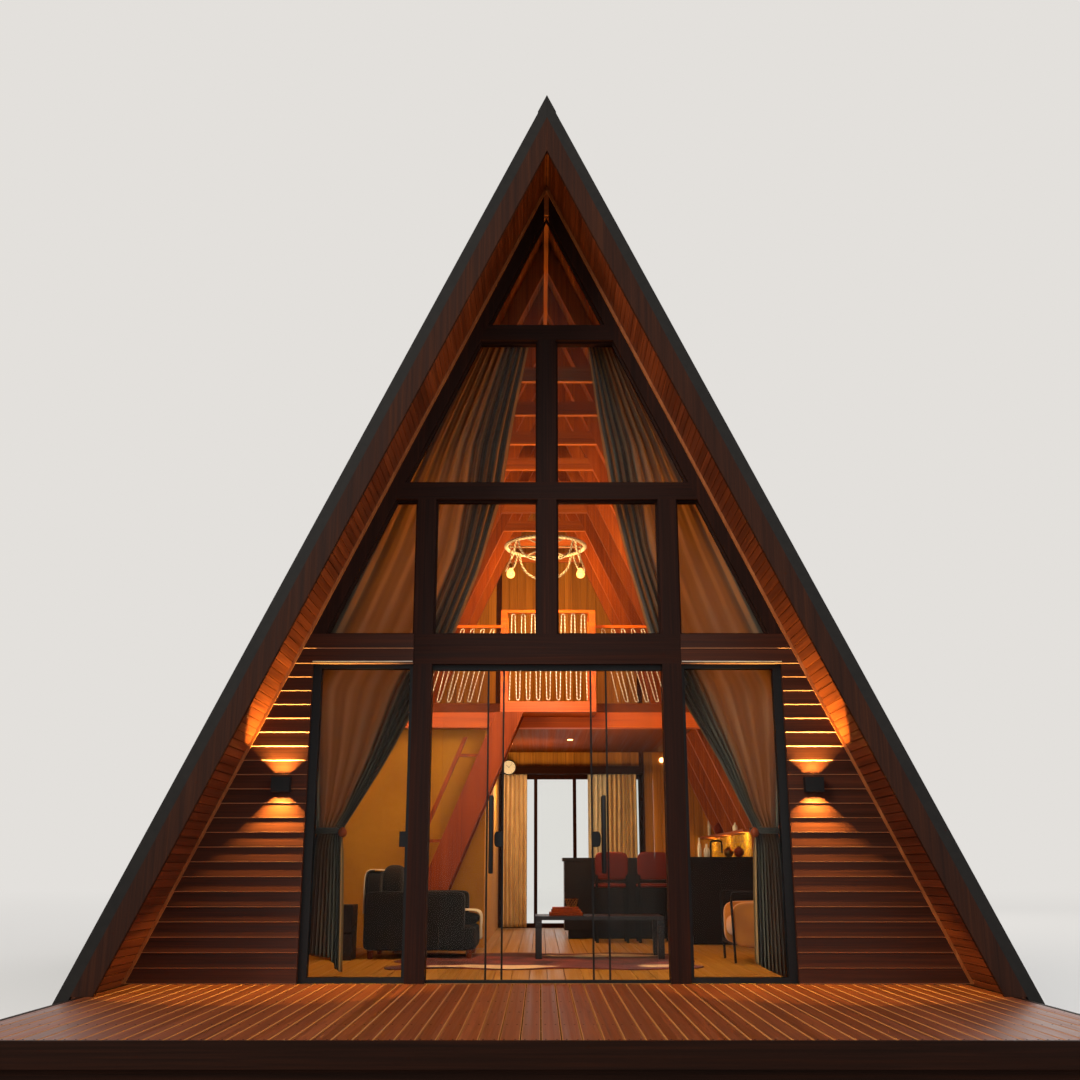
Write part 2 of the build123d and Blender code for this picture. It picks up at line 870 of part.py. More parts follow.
def make_curtains():
    """Tall drapes tied back inside the front gable, and the curtains at the back window."""
    drape_back = drape_front + drape_thickness
    rail_front = drape_front + (drape_thickness - drape_rail_width) / 2
    back_inner = house_length - wall_thickness
    with BuildPart() as rails:
        for side in sides:
            outline = [
                (side * roof_x(drape_rail_low), drape_rail_low),
                (side * roof_x(drape_top), drape_top),
                (side * roof_x(drape_top, drape_rail), drape_top),
                (side * roof_x(drape_rail_low, drape_rail), drape_rail_low),
            ]
            add_front_view(outline, rail_front, rail_front + drape_rail_width)
        add_block(back_left, back_right, back_inner - pelmet_thickness, back_inner,
                  back_opening_height, back_opening_height + pelmet_height)
    save(rails, "curtain_rails")

    edge = drape_rail + soft_gap
    for side in sides:
        with BuildPart() as drape:
            outline = [(side * share * roof_x(h), h) for share, h in drape_edge + drape_tail]
            outline += [
                (side * roof_x(drape_rail_low, edge), drape_rail_low),
                (side * roof_x(drape_top, edge), drape_top),
            ]
            add_front_view(outline, drape_front, drape_back)
        save(drape, f"drape_{side_names[side]}")

    with BuildPart() as back_curtains:
        for x_low, x_high in back_curtain_spans:
            add_block(x_low, x_high, back_curtain_front, back_curtain_front + back_curtain_thickness,
                      floor_gap, back_opening_height - soft_gap)
    save(back_curtains, "back_curtains")

    with BuildPart() as clock:
        with BuildSketch(Plane.XZ.offset(-y_at(back_inner - pelmet_thickness))):
            with Locations((clock_centre, z_at(clock_height))):
                Circle(clock_radius)
        extrude(amount=clock_thickness)
    save(clock, "wall_clock")


def add_counter(x_low, x_high, v_low, v_high):
    """In a part: a cupboard on a set back plinth, with a worktop that overhangs it."""
    body_top = counter_height - counter_slab
    inset = counter_plinth_inset
    add_block(x_low + inset, x_high - inset, v_low + inset, v_high - inset, 0, counter_plinth)
    add_block(x_low, x_high, v_low, v_high, counter_plinth, body_top)
    add_block(x_low - slab_overhang, x_high + slab_overhang, v_low - slab_overhang,
              v_high + slab_overhang, body_top, counter_height)


def make_furniture():
    """The pieces that stand in the room behind the glass."""
    with BuildPart() as rug:
        add_block(*rug_span, 0, rug_thickness)
    save(rug, "rug")

    # The sofa faces to the right, and its front legs stand on the rug
    x_low, x_high, v_low, v_high = sofa_span
    with BuildPart() as sofa:
        add_block(x_low, x_high, v_low, v_high, sofa_leg, sofa_base_top)
        for near in (v_low, v_high - sofa_arm):
            add_block(x_low, x_high - sofa_nose, near, near + sofa_arm, sofa_base_top, sofa_arm_top)
        add_block(x_low, x_low + sofa_back, v_low, v_high, sofa_base_top, sofa_back_top)
        for v in (v_low + sofa_arm / 2, v_high - sofa_arm / 2):
            add_rod(x_low + sofa_arm / 2, v, 0, sofa_leg, table_leg / 2)
            add_rod(x_high - sofa_arm / 2, v, rug_thickness, sofa_leg, table_leg / 2)
    save(sofa, "sofa")

    seat_left = x_low + sofa_back + soft_gap
    cushion_near = v_low + sofa_arm + soft_gap
    cushion_far = v_high - sofa_arm - soft_gap
    with BuildPart() as sofa_cushions:
        add_block(seat_left, x_high, cushion_near, cushion_far, sofa_base_top + soft_gap, sofa_seat_top)
        add_block(seat_left, seat_left + back_cushion, cushion_near, cushion_far,
                  sofa_seat_top + soft_gap, back_cushion_top)
    save(sofa_cushions, "sofa_cushions")

    x_low, x_high, v_low, v_high = table_span
    with BuildPart() as table:
        add_block(x_low, x_high, v_low, v_high, table_top - table_thickness, table_top)
        for x in (x_low, x_high - table_leg):
            for v in (v_low, v_high - table_leg):
                add_block(x, x + table_leg, v, v + table_leg, rug_thickness,
                          table_top - table_thickness)
    save(table, "coffee_table")

    with BuildPart() as counters:
        add_counter(*bar_span)
        add_counter(*counter_span)
    save(counters, "kitchen_counters")

    half = stool_width / 2
    with BuildPart() as stools:
        for x in stool_centres:
            seat_low = stool_seat_height - stool_seat_thickness
            v_low = stool_depth - half
            v_high = stool_depth + half
            add_block(x - half, x + half, v_low, v_high, seat_low, stool_seat_height)
            add_block(x - half, x + half, v_low, v_low + stool_back_thickness,
                      stool_seat_height, stool_back_top)
            add_block(x - half + stool_leg, x + half - stool_leg, v_low,
                      v_low + stool_back_thickness, stool_seat_height, stool_back_bottom,
                      mode=Mode.SUBTRACT)
            for leg_x in (x - half, x + half - stool_leg):
                for leg_v in (v_low, v_high - stool_leg):
                    add_block(leg_x, leg_x + stool_leg, leg_v, leg_v + stool_leg, 0, seat_low)
    save(stools, "bar_stools")

    x_low, x_high, v_low, v_high = chair_span
    with BuildPart() as chair:
        add_block(x_low, x_high, v_low, v_high, chair_leg, chair_seat_top)
        add_block(x_high - chair_back, x_high, v_low, v_high, chair_seat_top, chair_back_top)
        add_block(x_low, x_high, v_low, v_low + chair_arm, chair_seat_top, chair_arm_top)
        add_block(x_low, x_high, v_high - chair_arm, v_high, chair_seat_top, chair_arm_top)
        for x in (x_low + chair_arm / 2, x_high - chair_arm / 2):
            for v in (v_low + chair_arm / 2, v_high - chair_arm / 2):
                add_rod(x, v, 0, chair_leg, table_leg / 2)
    save(chair, "armchair")

    with BuildPart() as crate:
        add_block(*crate_span, 0, crate_height)
    save(crate, "side_cabinet")


os.makedirs("parts", exist_ok=True)
make_floor()
make_frames()
make_roof()
make_front_wall()
make_side_windows()
make_doors()
make_lamps()
make_back_wall()
make_loft()
make_stair()
make_partitions()
make_kitchen_wall()
make_chandelier()
make_curtains()
make_furniture()
print("door travel:", leaf_edge - closed_gap, "mm on each side")
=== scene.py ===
# %% [markdown]
# # An a-frame cabin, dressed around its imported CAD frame
#
# The cabin is a steep timber roof that runs down to the ground on both sides, with a glazed
# gable behind a deck. The CAD model already gives the frames, walls, floors and doors. This
# lesson adds what a builder would nail, hang or lay on them: boards, seams, ropes, cloth and
# upholstery, and a material for every surface. All lengths are metres, in the CAD's frame.

import bmesh
import bpy
import numpy as np
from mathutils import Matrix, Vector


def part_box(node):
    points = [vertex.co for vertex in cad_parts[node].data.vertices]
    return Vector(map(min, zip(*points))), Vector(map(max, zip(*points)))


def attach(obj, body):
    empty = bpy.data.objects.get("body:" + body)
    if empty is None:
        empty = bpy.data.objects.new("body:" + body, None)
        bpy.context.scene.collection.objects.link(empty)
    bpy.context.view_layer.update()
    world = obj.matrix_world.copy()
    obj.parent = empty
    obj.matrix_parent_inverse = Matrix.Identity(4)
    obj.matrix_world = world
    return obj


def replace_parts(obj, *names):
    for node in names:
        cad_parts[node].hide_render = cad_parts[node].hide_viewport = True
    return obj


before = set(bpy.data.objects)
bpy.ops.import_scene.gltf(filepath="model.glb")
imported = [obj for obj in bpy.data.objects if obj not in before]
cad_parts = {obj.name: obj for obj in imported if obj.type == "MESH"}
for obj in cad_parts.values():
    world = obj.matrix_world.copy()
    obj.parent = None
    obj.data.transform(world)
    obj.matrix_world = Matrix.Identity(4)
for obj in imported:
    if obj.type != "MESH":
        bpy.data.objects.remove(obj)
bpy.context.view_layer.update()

# %% [markdown]
# The two scales of this building are heights above the floor, called h, and depths behind
# the front wall's outer face, called v. The roof's inner plane is a straight line in front
# view, so its half width at any height is one multiplication.

# %% The building's own measures
floor_top = float(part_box("floor_boards")[1][2])
front_face = float(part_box("front_walls")[0][1])
half_width, apex = 3.140, 6.680
house_length, overhang, wall_thickness = 8.450, 0.900, 0.150
first_frame, frame_pitch = 0.075, 0.830
slope = half_width / apex
lean = np.arctan(slope)
hands = ((-1, "left"), (1, "right"))


def roof_x(h, inset=0.0):
    """Half width of the house at height h, inset square to the lining."""
    return (apex - h) * slope - inset / np.cos(lean)


def roof_h(x, inset=0.0):
    """Height of the lining above the floor at half width x."""
    return apex - (np.abs(x) + inset / np.cos(lean)) / slope


def place(x, v, h):
    """Points in the scene's frame from x, depth v and height h, as one array."""
    x, v, h = np.broadcast_arrays(x, v, h)
    return np.stack([x, v + front_face, h + floor_top], axis=-1).astype(float)


print("floor at", round(floor_top, 3), "front face at", round(front_face, 3))

# %% [markdown]
# The photograph was taken from in front of the deck, a little above it, looking up. The lens
# follows from how fast the posts and the roof's edges converge, so the render can be laid
# over the photograph.

# %% Camera
camera_data = bpy.data.cameras.new("camera")
camera_data.lens = 38.83
camera_data.sensor_width = 36
camera_data.clip_end = 400
camera = bpy.data.objects.new("camera", camera_data)
camera.location = (-0.057, -12.340, 1.022)
camera.rotation_euler = (np.radians(105.72), 0, 0)
bpy.context.collection.objects.link(camera)
bpy.context.scene.camera = camera
bpy.context.scene.view_settings.view_transform = "Standard"
print("camera at", tuple(camera.location))

# %% [markdown]
# A few small helpers do all the work on materials: one turns a hex colour into linear light,
# one sets or links a node's inputs, one adds a node, and one starts a material.

# %% Colour and node helpers
def hex_colour(code):
    """Linear RGBA of an sRGB hex code: c / 12.92 below 0.04045, else ((c + 0.055) / 1.055) ** 2.4."""
    srgb = np.array([int(code[i:i + 2], 16) for i in (1, 3, 5)]) / 255
    linear = np.where(srgb <= 0.04045, srgb / 12.92, ((srgb + 0.055) / 1.055) ** 2.4)
    return (*linear.tolist(), 1.0)


def feed(tree, node, inputs):
    """Sets a node's inputs to numbers, or links them to a socket or to another node's first output."""
    for name, value in inputs.items():
        if isinstance(value, bpy.types.Node):
            value = value.outputs[0]
        if isinstance(value, bpy.types.NodeSocket):
            tree.links.new(value, node.inputs[name])
        else:
            node.inputs[name].default_value = value


def add_node(tree, kind, inputs=None, stops=(), **options):
    """Adds a shader node with its options, a ramp's (position, hex) stops, and its inputs."""
    node = tree.nodes.new("ShaderNode" + kind)
    for name, value in options.items():
        setattr(node, name, value)
    for index, (position, code) in enumerate(stops):
        elements = node.color_ramp.elements
        element = elements[index] if index < len(elements) else elements.new(position)
        element.position, element.color = position, hex_colour(code)
    feed(tree, node, inputs or {})
    return node


def start_material(name, **shader):
    """A new material with its Principled shader's plain numbers set."""
    material = bpy.data.materials.new(name)
    material.use_nodes = True
    surface = material.node_tree.nodes["Principled BSDF"]
    for key, value in shader.items():
        surface.inputs[key.replace("_", " ").title().replace("Ior", "IOR")].default_value = value
    return material, material.node_tree, surface


print("node helpers ready")

# %% [markdown]
# Timber is the main finish here. Sawn softwood shows long streaks along the grain, a few
# millimetres across and most of a metre long, and each board has its own tone. Noise that is
# stretched along the grain gives the streaks, and the board's number, which is its place
# divided by the board's pitch and rounded down, picks its tone and shifts its streaks.

# %% Timber material
def timber(name, tones, along, grain=0.010, board=None, variety=0.2, edge_highlight=None, roughness=0.5, coat=0.0,
           relief=0.0006, shine=0.5):
    """Stained timber. Tones are three hex codes, dark to pale. Board is (axis, pitch, origin), or "uv"
    where the UV holds the board's number and the share of its width. The edge argument is (hex, low,
    high): the pale colour of a painted highlight along the board's edges, where light catches them, and
    the share of its width that each one takes."""
    material, tree, surface = start_material(name, coat_weight=coat, coat_roughness=0.15,
                                             specular_ior_level=shine)
    where = add_node(tree, "TexCoord").outputs["Object"]
    if board == "uv":
        split = add_node(tree, "SeparateXYZ", {0: add_node(tree, "TexCoord").outputs["UV"]})
        number, share = split.outputs["X"], split.outputs["Y"]
    elif board:
        axis, pitch, origin = board
        split = add_node(tree, "SeparateXYZ", {0: where})
        moved = add_node(tree, "Math", {0: split.outputs[axis], 1: -origin}, operation="ADD")
        number = add_node(tree, "Math", {0: moved, 1: pitch}, operation="DIVIDE")
        share = add_node(tree, "Math", {0: number}, operation="FRACT")
    if board:
        whole = add_node(tree, "Math", {0: number}, operation="FLOOR")
        tone = add_node(tree, "TexWhiteNoise", {"W": whole}, noise_dimensions="1D")
        shift = add_node(tree, "VectorMath", {0: tone.outputs["Color"], "Scale": 9.0}, operation="SCALE")
        where = add_node(tree, "VectorMath", {0: where, 1: shift}, operation="ADD")
    stretch = np.full(3, 1 / grain)
    stretch["XYZ".index(along)] = 1.1
    fine_place = add_node(tree, "Mapping", {"Vector": where, "Scale": stretch.tolist()})
    fine = add_node(tree, "TexNoise", {"Vector": fine_place, "Scale": 1.0, "Detail": 7.0, "Roughness": 0.62,
                                       "Distortion": 0.35})
    broad_place = add_node(tree, "Mapping", {"Vector": where, "Scale": (stretch / 7).tolist()})
    broad = add_node(tree, "TexNoise", {"Vector": broad_place, "Scale": 1.0, "Detail": 3.0,
                                        "Distortion": 1.2})
    figure = add_node(tree, "Mix", {0: 0.42, 2: fine, 3: broad})
    colour = add_node(tree, "ValToRGB", {0: figure}, zip((0.32, 0.52, 0.72), tones))
    if board:
        level = add_node(tree, "MapRange", {"Value": tone.outputs["Value"], "To Min": 1 - variety,
                                            "To Max": 1 + variety})
        colour = add_node(tree, "HueSaturation", {"Color": colour, "Value": level})
    # A pale colour painted along the board's edges: a painted highlight where light catches the arrises.
    if edge_highlight:
        pale, low, high = edge_highlight
        near_low = add_node(tree, "MapRange", {"Value": share, "From Min": low * 0.7, "From Max": low * 1.3,
                                               "To Min": 1.0, "To Max": 0.0})
        near_high = add_node(tree, "MapRange", {"Value": share, "From Min": 1 - high * 1.3,
                                                "From Max": 1 - high * 0.7 + 1e-4})
        highlight_mask = add_node(tree, "Math", {0: near_low, 1: near_high}, operation="MAXIMUM")
        colour = add_node(tree, "Mix", {0: highlight_mask, 6: colour, 7: hex_colour(pale)},
                          data_type="RGBA").outputs[2]
    gloss = add_node(tree, "MapRange", {"Value": broad, "From Min": 0.3, "From Max": 0.7,
                                        "To Min": roughness - 0.1, "To Max": roughness + 0.12})
    raised = add_node(tree, "Bump", {"Height": fine, "Distance": relief})
    feed(tree, surface, {"Base Color": colour, "Roughness": gloss, "Normal": raised})
    return material


print("timber helper ready")

# %% [markdown]
# ** Outdoor timber.** The walls, soffit and deck have a thin red-brown stain that leaves the
# grain in sight, and the posts and edges one that is nearly black. A pale line painted along the
# lower lip of each siding board and along both edges of each deck board is a painted highlight,
# where light catches the arrises. Stain is matt, so little of the pale studio shows in it.

# %% Outdoor timber
siding_tones = ("#261006", "#3e1b0b", "#55270f")
dark_tones = ("#140703", "#240f07", "#38190c")
lining_pitch = 0.065 * np.cos(lean)
siding_stain = timber("red_brown_stained_pine", siding_tones, "X", roughness=0.55, shine=0.2)
# Each siding board's lower lip gets a pale painted line: a painted highlight where light catches it.
siding_boards = timber("red_brown_stained_boards", siding_tones, "X", board="uv",
                       edge_highlight=("#a8704c", 0.055, 0.0),
                       roughness=0.52, shine=0.2)
soffit_pine = timber("red_brown_soffit_boards", ("#3f1807", "#5c260c", "#743412"), "Y",
                     board=("Z", lining_pitch, 0.0), shine=0.25)
# The corner trim is a paler oiled pine: its pale tone is a painted highlight along the lit corner between
# soffit and wall.
highlit_trim_pine = timber("oiled_pine_trim_painted_highlight", ("#7a3a15", "#96501f", "#ad6630"), "Z")
dark_upright = timber("dark_stained_posts", dark_tones, "Z", grain=0.014, roughness=0.62, shine=0.12)
dark_level = timber("dark_stained_beams", dark_tones, "X", grain=0.014, roughness=0.62, shine=0.12)
barge_stain = timber("brown_stained_bargeboards", ("#1a0b05", "#2b1409", "#3c1e0e"), "Z", grain=0.014,
                     roughness=0.6, shine=0.1)
dark_long = timber("dark_stained_fascia", ("#110602", "#1e0d06", "#2c1409"), "X", grain=0.014, roughness=0.65,
                   shine=0.06)
# Both edges of each deck board get a pale painted line: a painted highlight where light catches them.
deck_stain = timber("oiled_hardwood_decking", ("#4a200a", "#632c0d", "#7b3c15"), "Y",
                    board=("X", 6.14 / 59, -3.07), variety=0.13, edge_highlight=("#b5793f", 0.06, 0.06), roughness=0.44,
                    coat=0.05, relief=0.0007, shine=0.3)
print("outdoor timbers:", len(bpy.data.materials))

# %% [markdown]
# ** Indoor timber.** Oiled pine turns orange and keeps a soft sheen. The stair has a redder
# stain. The loft's boards are a darker, browner copy of the oiled pine: painted shade for the
# loft's underside, which lies in shade. The lacquered oak floor hardly shows its grain from
# outside, so its tones lie close together and its relief is a twentieth of a millimetre.

# %% Indoor timber
lining_pine = timber("oiled_pine_lining", ("#5e280b", "#843f12", "#a4571d"), "Y",
                     board=("Z", lining_pitch, 0.0), variety=0.16)
frame_pine_slope = timber("oiled_pine_rafters", ("#6b2c0a", "#944614", "#ad5e22"), "Z")
frame_pine_level = timber("oiled_pine_beams", ("#713410", "#9a4d1a", "#b4652a"), "X")
frame_pine_long = timber("oiled_pine_boards", ("#74340e", "#9c501a", "#b66a2c"), "Y", roughness=0.48)
# A darker copy of the oiled pine: painted shade for the loft's underside.
shaded_loft_pine = timber("oiled_loft_boards_painted_shade", ("#451a07", "#642b0d", "#7c3b15"), "Y", board=("X", 0.14, 0.0),
                   variety=0.12, roughness=0.6, shine=0.15)
edge_pine = timber("orange_oiled_pine", ("#8f3a06", "#bd5207", "#d5690f"), "X", roughness=0.45)
stair_stain = timber("red_orange_stained_pine", ("#5a1e05", "#80330a", "#984512"), "Z", roughness=0.45,
                     shine=0.2)
floor_oak = timber("lacquered_oak_floor", ("#8c5c1e", "#966524", "#a06e2a"), "Y", board=("X", 0.14, -3.08),
                   variety=0.04, roughness=0.42, coat=0.08, relief=0.00005, shine=0.35)
wall_pine = timber("golden_pine_cladding", ("#7c4813", "#a86b20", "#c4863a"), "Z", board="uv", roughness=0.55)
table_wood = timber("black_stained_ash", ("#0c0807", "#171110", "#241b17"), "X", roughness=0.35, coat=0.15)
print("timbers:", len(bpy.data.materials))

# %% [markdown]
# **Metal, mineral and plastic.** Powder coat, steel sheet, concrete, limewash, laminate and
# glaze are all even surfaces that still vary softly in tone and gloss. Noise at the size of
# that variation drives both, and a finer one gives the tooth that the eye reads as orange
# peel, trowel marks or grit.

# %% Metal, concrete, plaster and plastic
def mottled(name, tones, size, roughness, relief, metallic=0.0, coat=0.0, shine=0.5):
    """A surface that varies softly: noise of this size in metres drives tone, gloss and relief."""
    material, tree, surface = start_material(name, metallic=metallic, coat_weight=coat,
                                             specular_ior_level=shine)
    where = add_node(tree, "TexCoord").outputs["Object"]
    coarse = add_node(tree, "TexNoise", {"Vector": where, "Scale": 1 / size, "Detail": 6.0, "Roughness": 0.6})
    fine = add_node(tree, "TexNoise", {"Vector": where, "Scale": 12 / size, "Detail": 4.0})
    both = add_node(tree, "Mix", {0: 0.4, 2: coarse, 3: fine})
    colour = add_node(tree, "ValToRGB", {0: both}, zip((0.35, 0.65), tones))
    gloss = add_node(tree, "MapRange", {"Value": coarse, "From Min": 0.3, "From Max": 0.7,
                                        "To Min": roughness - 0.08, "To Max": roughness + 0.08})
    raised = add_node(tree, "Bump", {"Height": fine, "Distance": relief})
    feed(tree, surface, {"Base Color": colour, "Roughness": gloss, "Normal": raised})
    return material


roof_steel = mottled("coated_roofing_steel", ("#12100e", "#1c1916"), 0.6, 0.6, 0.0002, shine=0.15)
black_aluminium = mottled("powder_coated_aluminium", ("#0b0b0c", "#131313"), 0.2, 0.5, 0.0001, shine=0.25)
concrete = mottled("cast_concrete", ("#7e7a73", "#9b978f"), 0.35, 0.85, 0.001)
plaster = mottled("ochre_limewash", ("#a0680f", "#b47c1e"), 0.5, 0.8, 0.0008)
terracotta = mottled("moulded_polypropylene", ("#55180a", "#651f0f"), 0.3, 0.42, 0.00015, shine=0.3)
laminate = mottled("dark_laminate", ("#100c0b", "#191412"), 0.4, 0.35, 0.0001, shine=0.3)
worktop_stone = mottled("honed_granite", ("#1d1c1c", "#3a3735"), 0.02, 0.3, 0.0001)
brass = mottled("aged_brass", ("#8d6a2c", "#b38d47"), 0.05, 0.32, 0.0001, metallic=1.0)
ceramic = mottled("glazed_stoneware", ("#c9bda4", "#e0d6c0"), 0.05, 0.25, 0.0001, coat=0.4)
tile_glaze = mottled("yellow_glazed_tiles", ("#c28a1e", "#dba835"), 0.09, 0.2, 0.0003, coat=0.5)
drip_aluminium = mottled("mill_finish_aluminium", ("#b8aa98", "#d2c6b4"), 0.3, 0.38, 0.0001, metallic=0.6)
dial_enamel = mottled("enamelled_dial", ("#ddd6bd", "#ebe5cf"), 0.08, 0.35, 0.00005)
print("materials so far:", len(bpy.data.materials))

# %% [markdown]
# **Glass and lamps.** A refracting shader alone would keep the lamps' light out of the room,
# because a shadow ray can't pass it. So shadow rays meet a transparent shader in its place.
# A lit bulb is seen as its own light, so an emission with a warm, uneven colour is enough.

# %% Glass and lamps
def pane_glass(name, tint, ior):
    """Clear float glass: a refracting shader, let through by shadow rays."""
    material, tree, surface = start_material(name, roughness=0.0, transmission_weight=1.0, ior=ior,
                                             base_color=hex_colour(tint))
    shadow = add_node(tree, "LightPath").outputs["Is Shadow Ray"]
    clear = add_node(tree, "BsdfTransparent", {"Color": hex_colour(tint)})
    mixed = add_node(tree, "MixShader", {0: shadow, 1: surface, 2: clear})
    feed(tree, tree.nodes["Material Output"], {"Surface": mixed})
    return material


def lamp_glow(name, colour, strength):
    """A lit filament or lens: a warm emission on a pale shader."""
    material, tree, surface = start_material(name, roughness=0.4, emission_strength=strength,
                                             base_color=hex_colour(colour))
    where = add_node(tree, "TexCoord").outputs["Object"]
    flicker = add_node(tree, "TexNoise", {"Vector": where, "Scale": 60.0})
    glow = add_node(tree, "ValToRGB", {0: flicker}, [(0.2, colour), (0.9, "#ffcf8a")])
    feed(tree, surface, {"Emission Color": glow})
    return material


# The low index stands for a coated pane, which mirrors the sky far less than bare glass does.
float_glass = pane_glass("coated_float_glass", "#f8faf8", 1.12)
bulb_glass = lamp_glow("lit_amber_glass", "#ffa030", 2.6)
lamp_lens = lamp_glow("frosted_lamp_lens", "#ffc27a", 5.0)
print("glass and lamps:", float_glass.name, bulb_glass.name, lamp_lens.name)

# %% [markdown]
# ** Cloth.** Woven cloth scatters light softly and its threads cross at right angles. Two
# sine waves on the piece's own UV, which is in metres, give the threads, and on pleated cloth
# a broad wave follows the folds, with darker and paler bands: painted shade and light on them.
# Linen threads are under a millimetre, too fine to show from the deck, so they are drawn
# several times as coarse.

# %% Woven cloth
def cloth(name, tones, thread=0.004, sheen=0.3, fold_shade_pitch=None):
    """Woven cloth on its own UV: two sine waves at the thread's pitch, multiplied, and a broad one: painted
    fold shade.
    """
    material, tree, surface = start_material(name, roughness=0.85, sheen_weight=sheen, sheen_roughness=0.5)
    uv = add_node(tree, "TexCoord").outputs["UV"]
    waves = [add_node(tree, "TexWave", {"Vector": uv, "Scale": 0.314 / thread, "Distortion": 0.6,
                                        "Detail": 1.0},
                      bands_direction=axis).outputs["Fac"] for axis in "XY"]
    weave = add_node(tree, "Math", {0: waves[0], 1: waves[1]}, operation="MULTIPLY")
    cloud = add_node(tree, "TexNoise", {"Vector": uv, "Scale": 3.0, "Detail": 5.0})
    factor = add_node(tree, "Mix", {0: 0.2, 2: cloud, 3: weave})
    # Painted shade and light on the folds: darker and paler bands of a broad sine across the cloth.
    if fold_shade_pitch:
        across = add_node(tree, "SeparateXYZ", {0: uv}).outputs["X"]
        turns = add_node(tree, "Math", {0: across, 1: 2 * np.pi / fold_shade_pitch}, operation="MULTIPLY")
        band = add_node(tree, "Math", {0: turns}, operation="SINE")
        soft = add_node(tree, "MapRange", {"Value": band, "From Min": -1.0, "From Max": 1.0})
        factor = add_node(tree, "Mix", {0: 0.45, 2: factor, 3: soft})
    colour = add_node(tree, "ValToRGB", {0: factor}, zip((0.25, 0.5, 0.78), tones))
    raised = add_node(tree, "Bump", {"Height": weave, "Distance": thread * 0.2})
    feed(tree, surface, {"Base Color": colour, "Normal": raised})
    return material


drape_fold = 0.30
drape_linen = cloth("grey_green_linen", ("#24211a", "#3b372b", "#7c7259"), thread=0.006, sheen=0.06,
                    fold_shade_pitch=drape_fold)
tie_linen = cloth("dark_linen_tie", ("#1a1710", "#2b261b", "#3c3526"), thread=0.003, sheen=0.06)
curtain_linen = cloth("sand_linen", ("#a88048", "#cfa868", "#ecd09a"), thread=0.005, fold_shade_pitch=0.16)
voile = cloth("undyed_voile", ("#bcae90", "#d0c2a2", "#dfd3b6"), fold_shade_pitch=0.12)
sofa_weave = cloth("charcoal_boucle", ("#0a0908", "#110f0d", "#1a1714"), thread=0.010, sheen=0.06)
chair_weave = cloth("ochre_wool", ("#8f5413", "#b87420", "#d08f38"), thread=0.010)
throw_weave = cloth("undyed_wool", ("#b9a88a", "#d8c8a8", "#ece0c6"), thread=0.012)
print("cloths: drape, tie, curtain, voile, sofa, chair, throw")

# %% [markdown]
# **The drape's lining and its glow.** The drapes are lined, and lamps stand behind them. One
# layer of cloth glows, the gathered band stays dark, and the paler lining shows where the
# inner hem turns over. All three follow from two numbers on the UV, how far across the cloth
# and how far below its top, so a few ranges of them mix in the lining and a translucent
# shader.

# %% Lining and light in the drape
tree = drape_linen.node_tree
surface = tree.nodes["Principled BSDF"]
split = add_node(tree, "SeparateXYZ", {0: add_node(tree, "TexCoord").outputs["UV"]})
across_cloth, below_top = split.outputs["X"], split.outputs["Y"]
# The lining shows along the inner hem, and more of it below the tie.
reach = add_node(tree, "MapRange", {"Value": below_top, "From Min": 4.05, "From Max": 4.30, "To Min": 0.06,
                                    "To Max": 0.20})
turned_over = add_node(tree, "Math", {0: across_cloth, 1: reach}, operation="LESS_THAN")
linen_colour = surface.inputs["Base Color"].links[0].from_socket
lined = add_node(tree, "Mix", {0: turned_over, 6: linen_colour, 7: hex_colour("#93713f")}, data_type="RGBA")
# Light comes through a single layer of cloth, and hardly through the gathered edge.
inner_share = add_node(tree, "MapRange", {"Value": across_cloth, "From Min": 0.8, "From Max": 1.35,
                                          "To Min": 0.12, "To Max": 0.55})
outer_share = add_node(tree, "MapRange", {"Value": across_cloth, "From Min": 2.30, "From Max": 2.50,
                                          "To Min": 1.0, "To Max": 0.15})
single_layer = add_node(tree, "Math", {0: inner_share, 1: outer_share}, operation="MULTIPLY")
# High up, the folds part and light comes through between them too.
turns = add_node(tree, "Math", {0: across_cloth, 1: 2 * np.pi / drape_fold}, operation="MULTIPLY")
band = add_node(tree, "Math", {0: turns}, operation="SINE")
streak = add_node(tree, "MapRange", {"Value": band, "From Min": 0.1, "From Max": 0.7, "To Max": 0.65})
high = add_node(tree, "MapRange", {"Value": below_top, "From Min": 2.3, "From Max": 2.9, "To Min": 1.0,
                                   "To Max": 0.0})
parted = add_node(tree, "Math", {0: streak, 1: high}, operation="MULTIPLY")
lit = add_node(tree, "Math", {0: single_layer, 1: parted}, operation="MAXIMUM")
glow = add_node(tree, "BsdfTranslucent", {"Color": hex_colour("#c49a64")})
feed(tree, surface, {"Base Color": lined.outputs[2]})
feed(tree, tree.nodes["Material Output"], {"Surface": add_node(tree, "MixShader",
                                                               {0: lit, 1: surface, 2: glow})})
print("drape shader nodes:", len(tree.nodes))

# %% [markdown]
# **Rope.** Three strands are laid round each other, so they cross the rope at a slant. A
# diagonal wave on the rope's UV gives them, in two cottons: aged for the lamp and fresh
# white for the guard's lacing.

# %% Twisted rope
def twisted_rope(name, tones):
    """Rope: its strands cross it at a slant, one turn in about 20 mm of rope."""
    material, tree, surface = start_material(name, roughness=0.8, sheen_weight=0.2)
    uv = add_node(tree, "TexCoord").outputs["UV"]
    strands = add_node(tree, "TexWave", {"Vector": uv, "Scale": 16.0, "Distortion": 0.8},
                       bands_direction="DIAGONAL").outputs["Fac"]
    colour = add_node(tree, "ValToRGB", {0: strands}, zip((0.1, 0.5, 0.9), tones))
    raised = add_node(tree, "Bump", {"Height": strands, "Distance": 0.0008})
    feed(tree, surface, {"Base Color": colour, "Normal": raised})
    return material


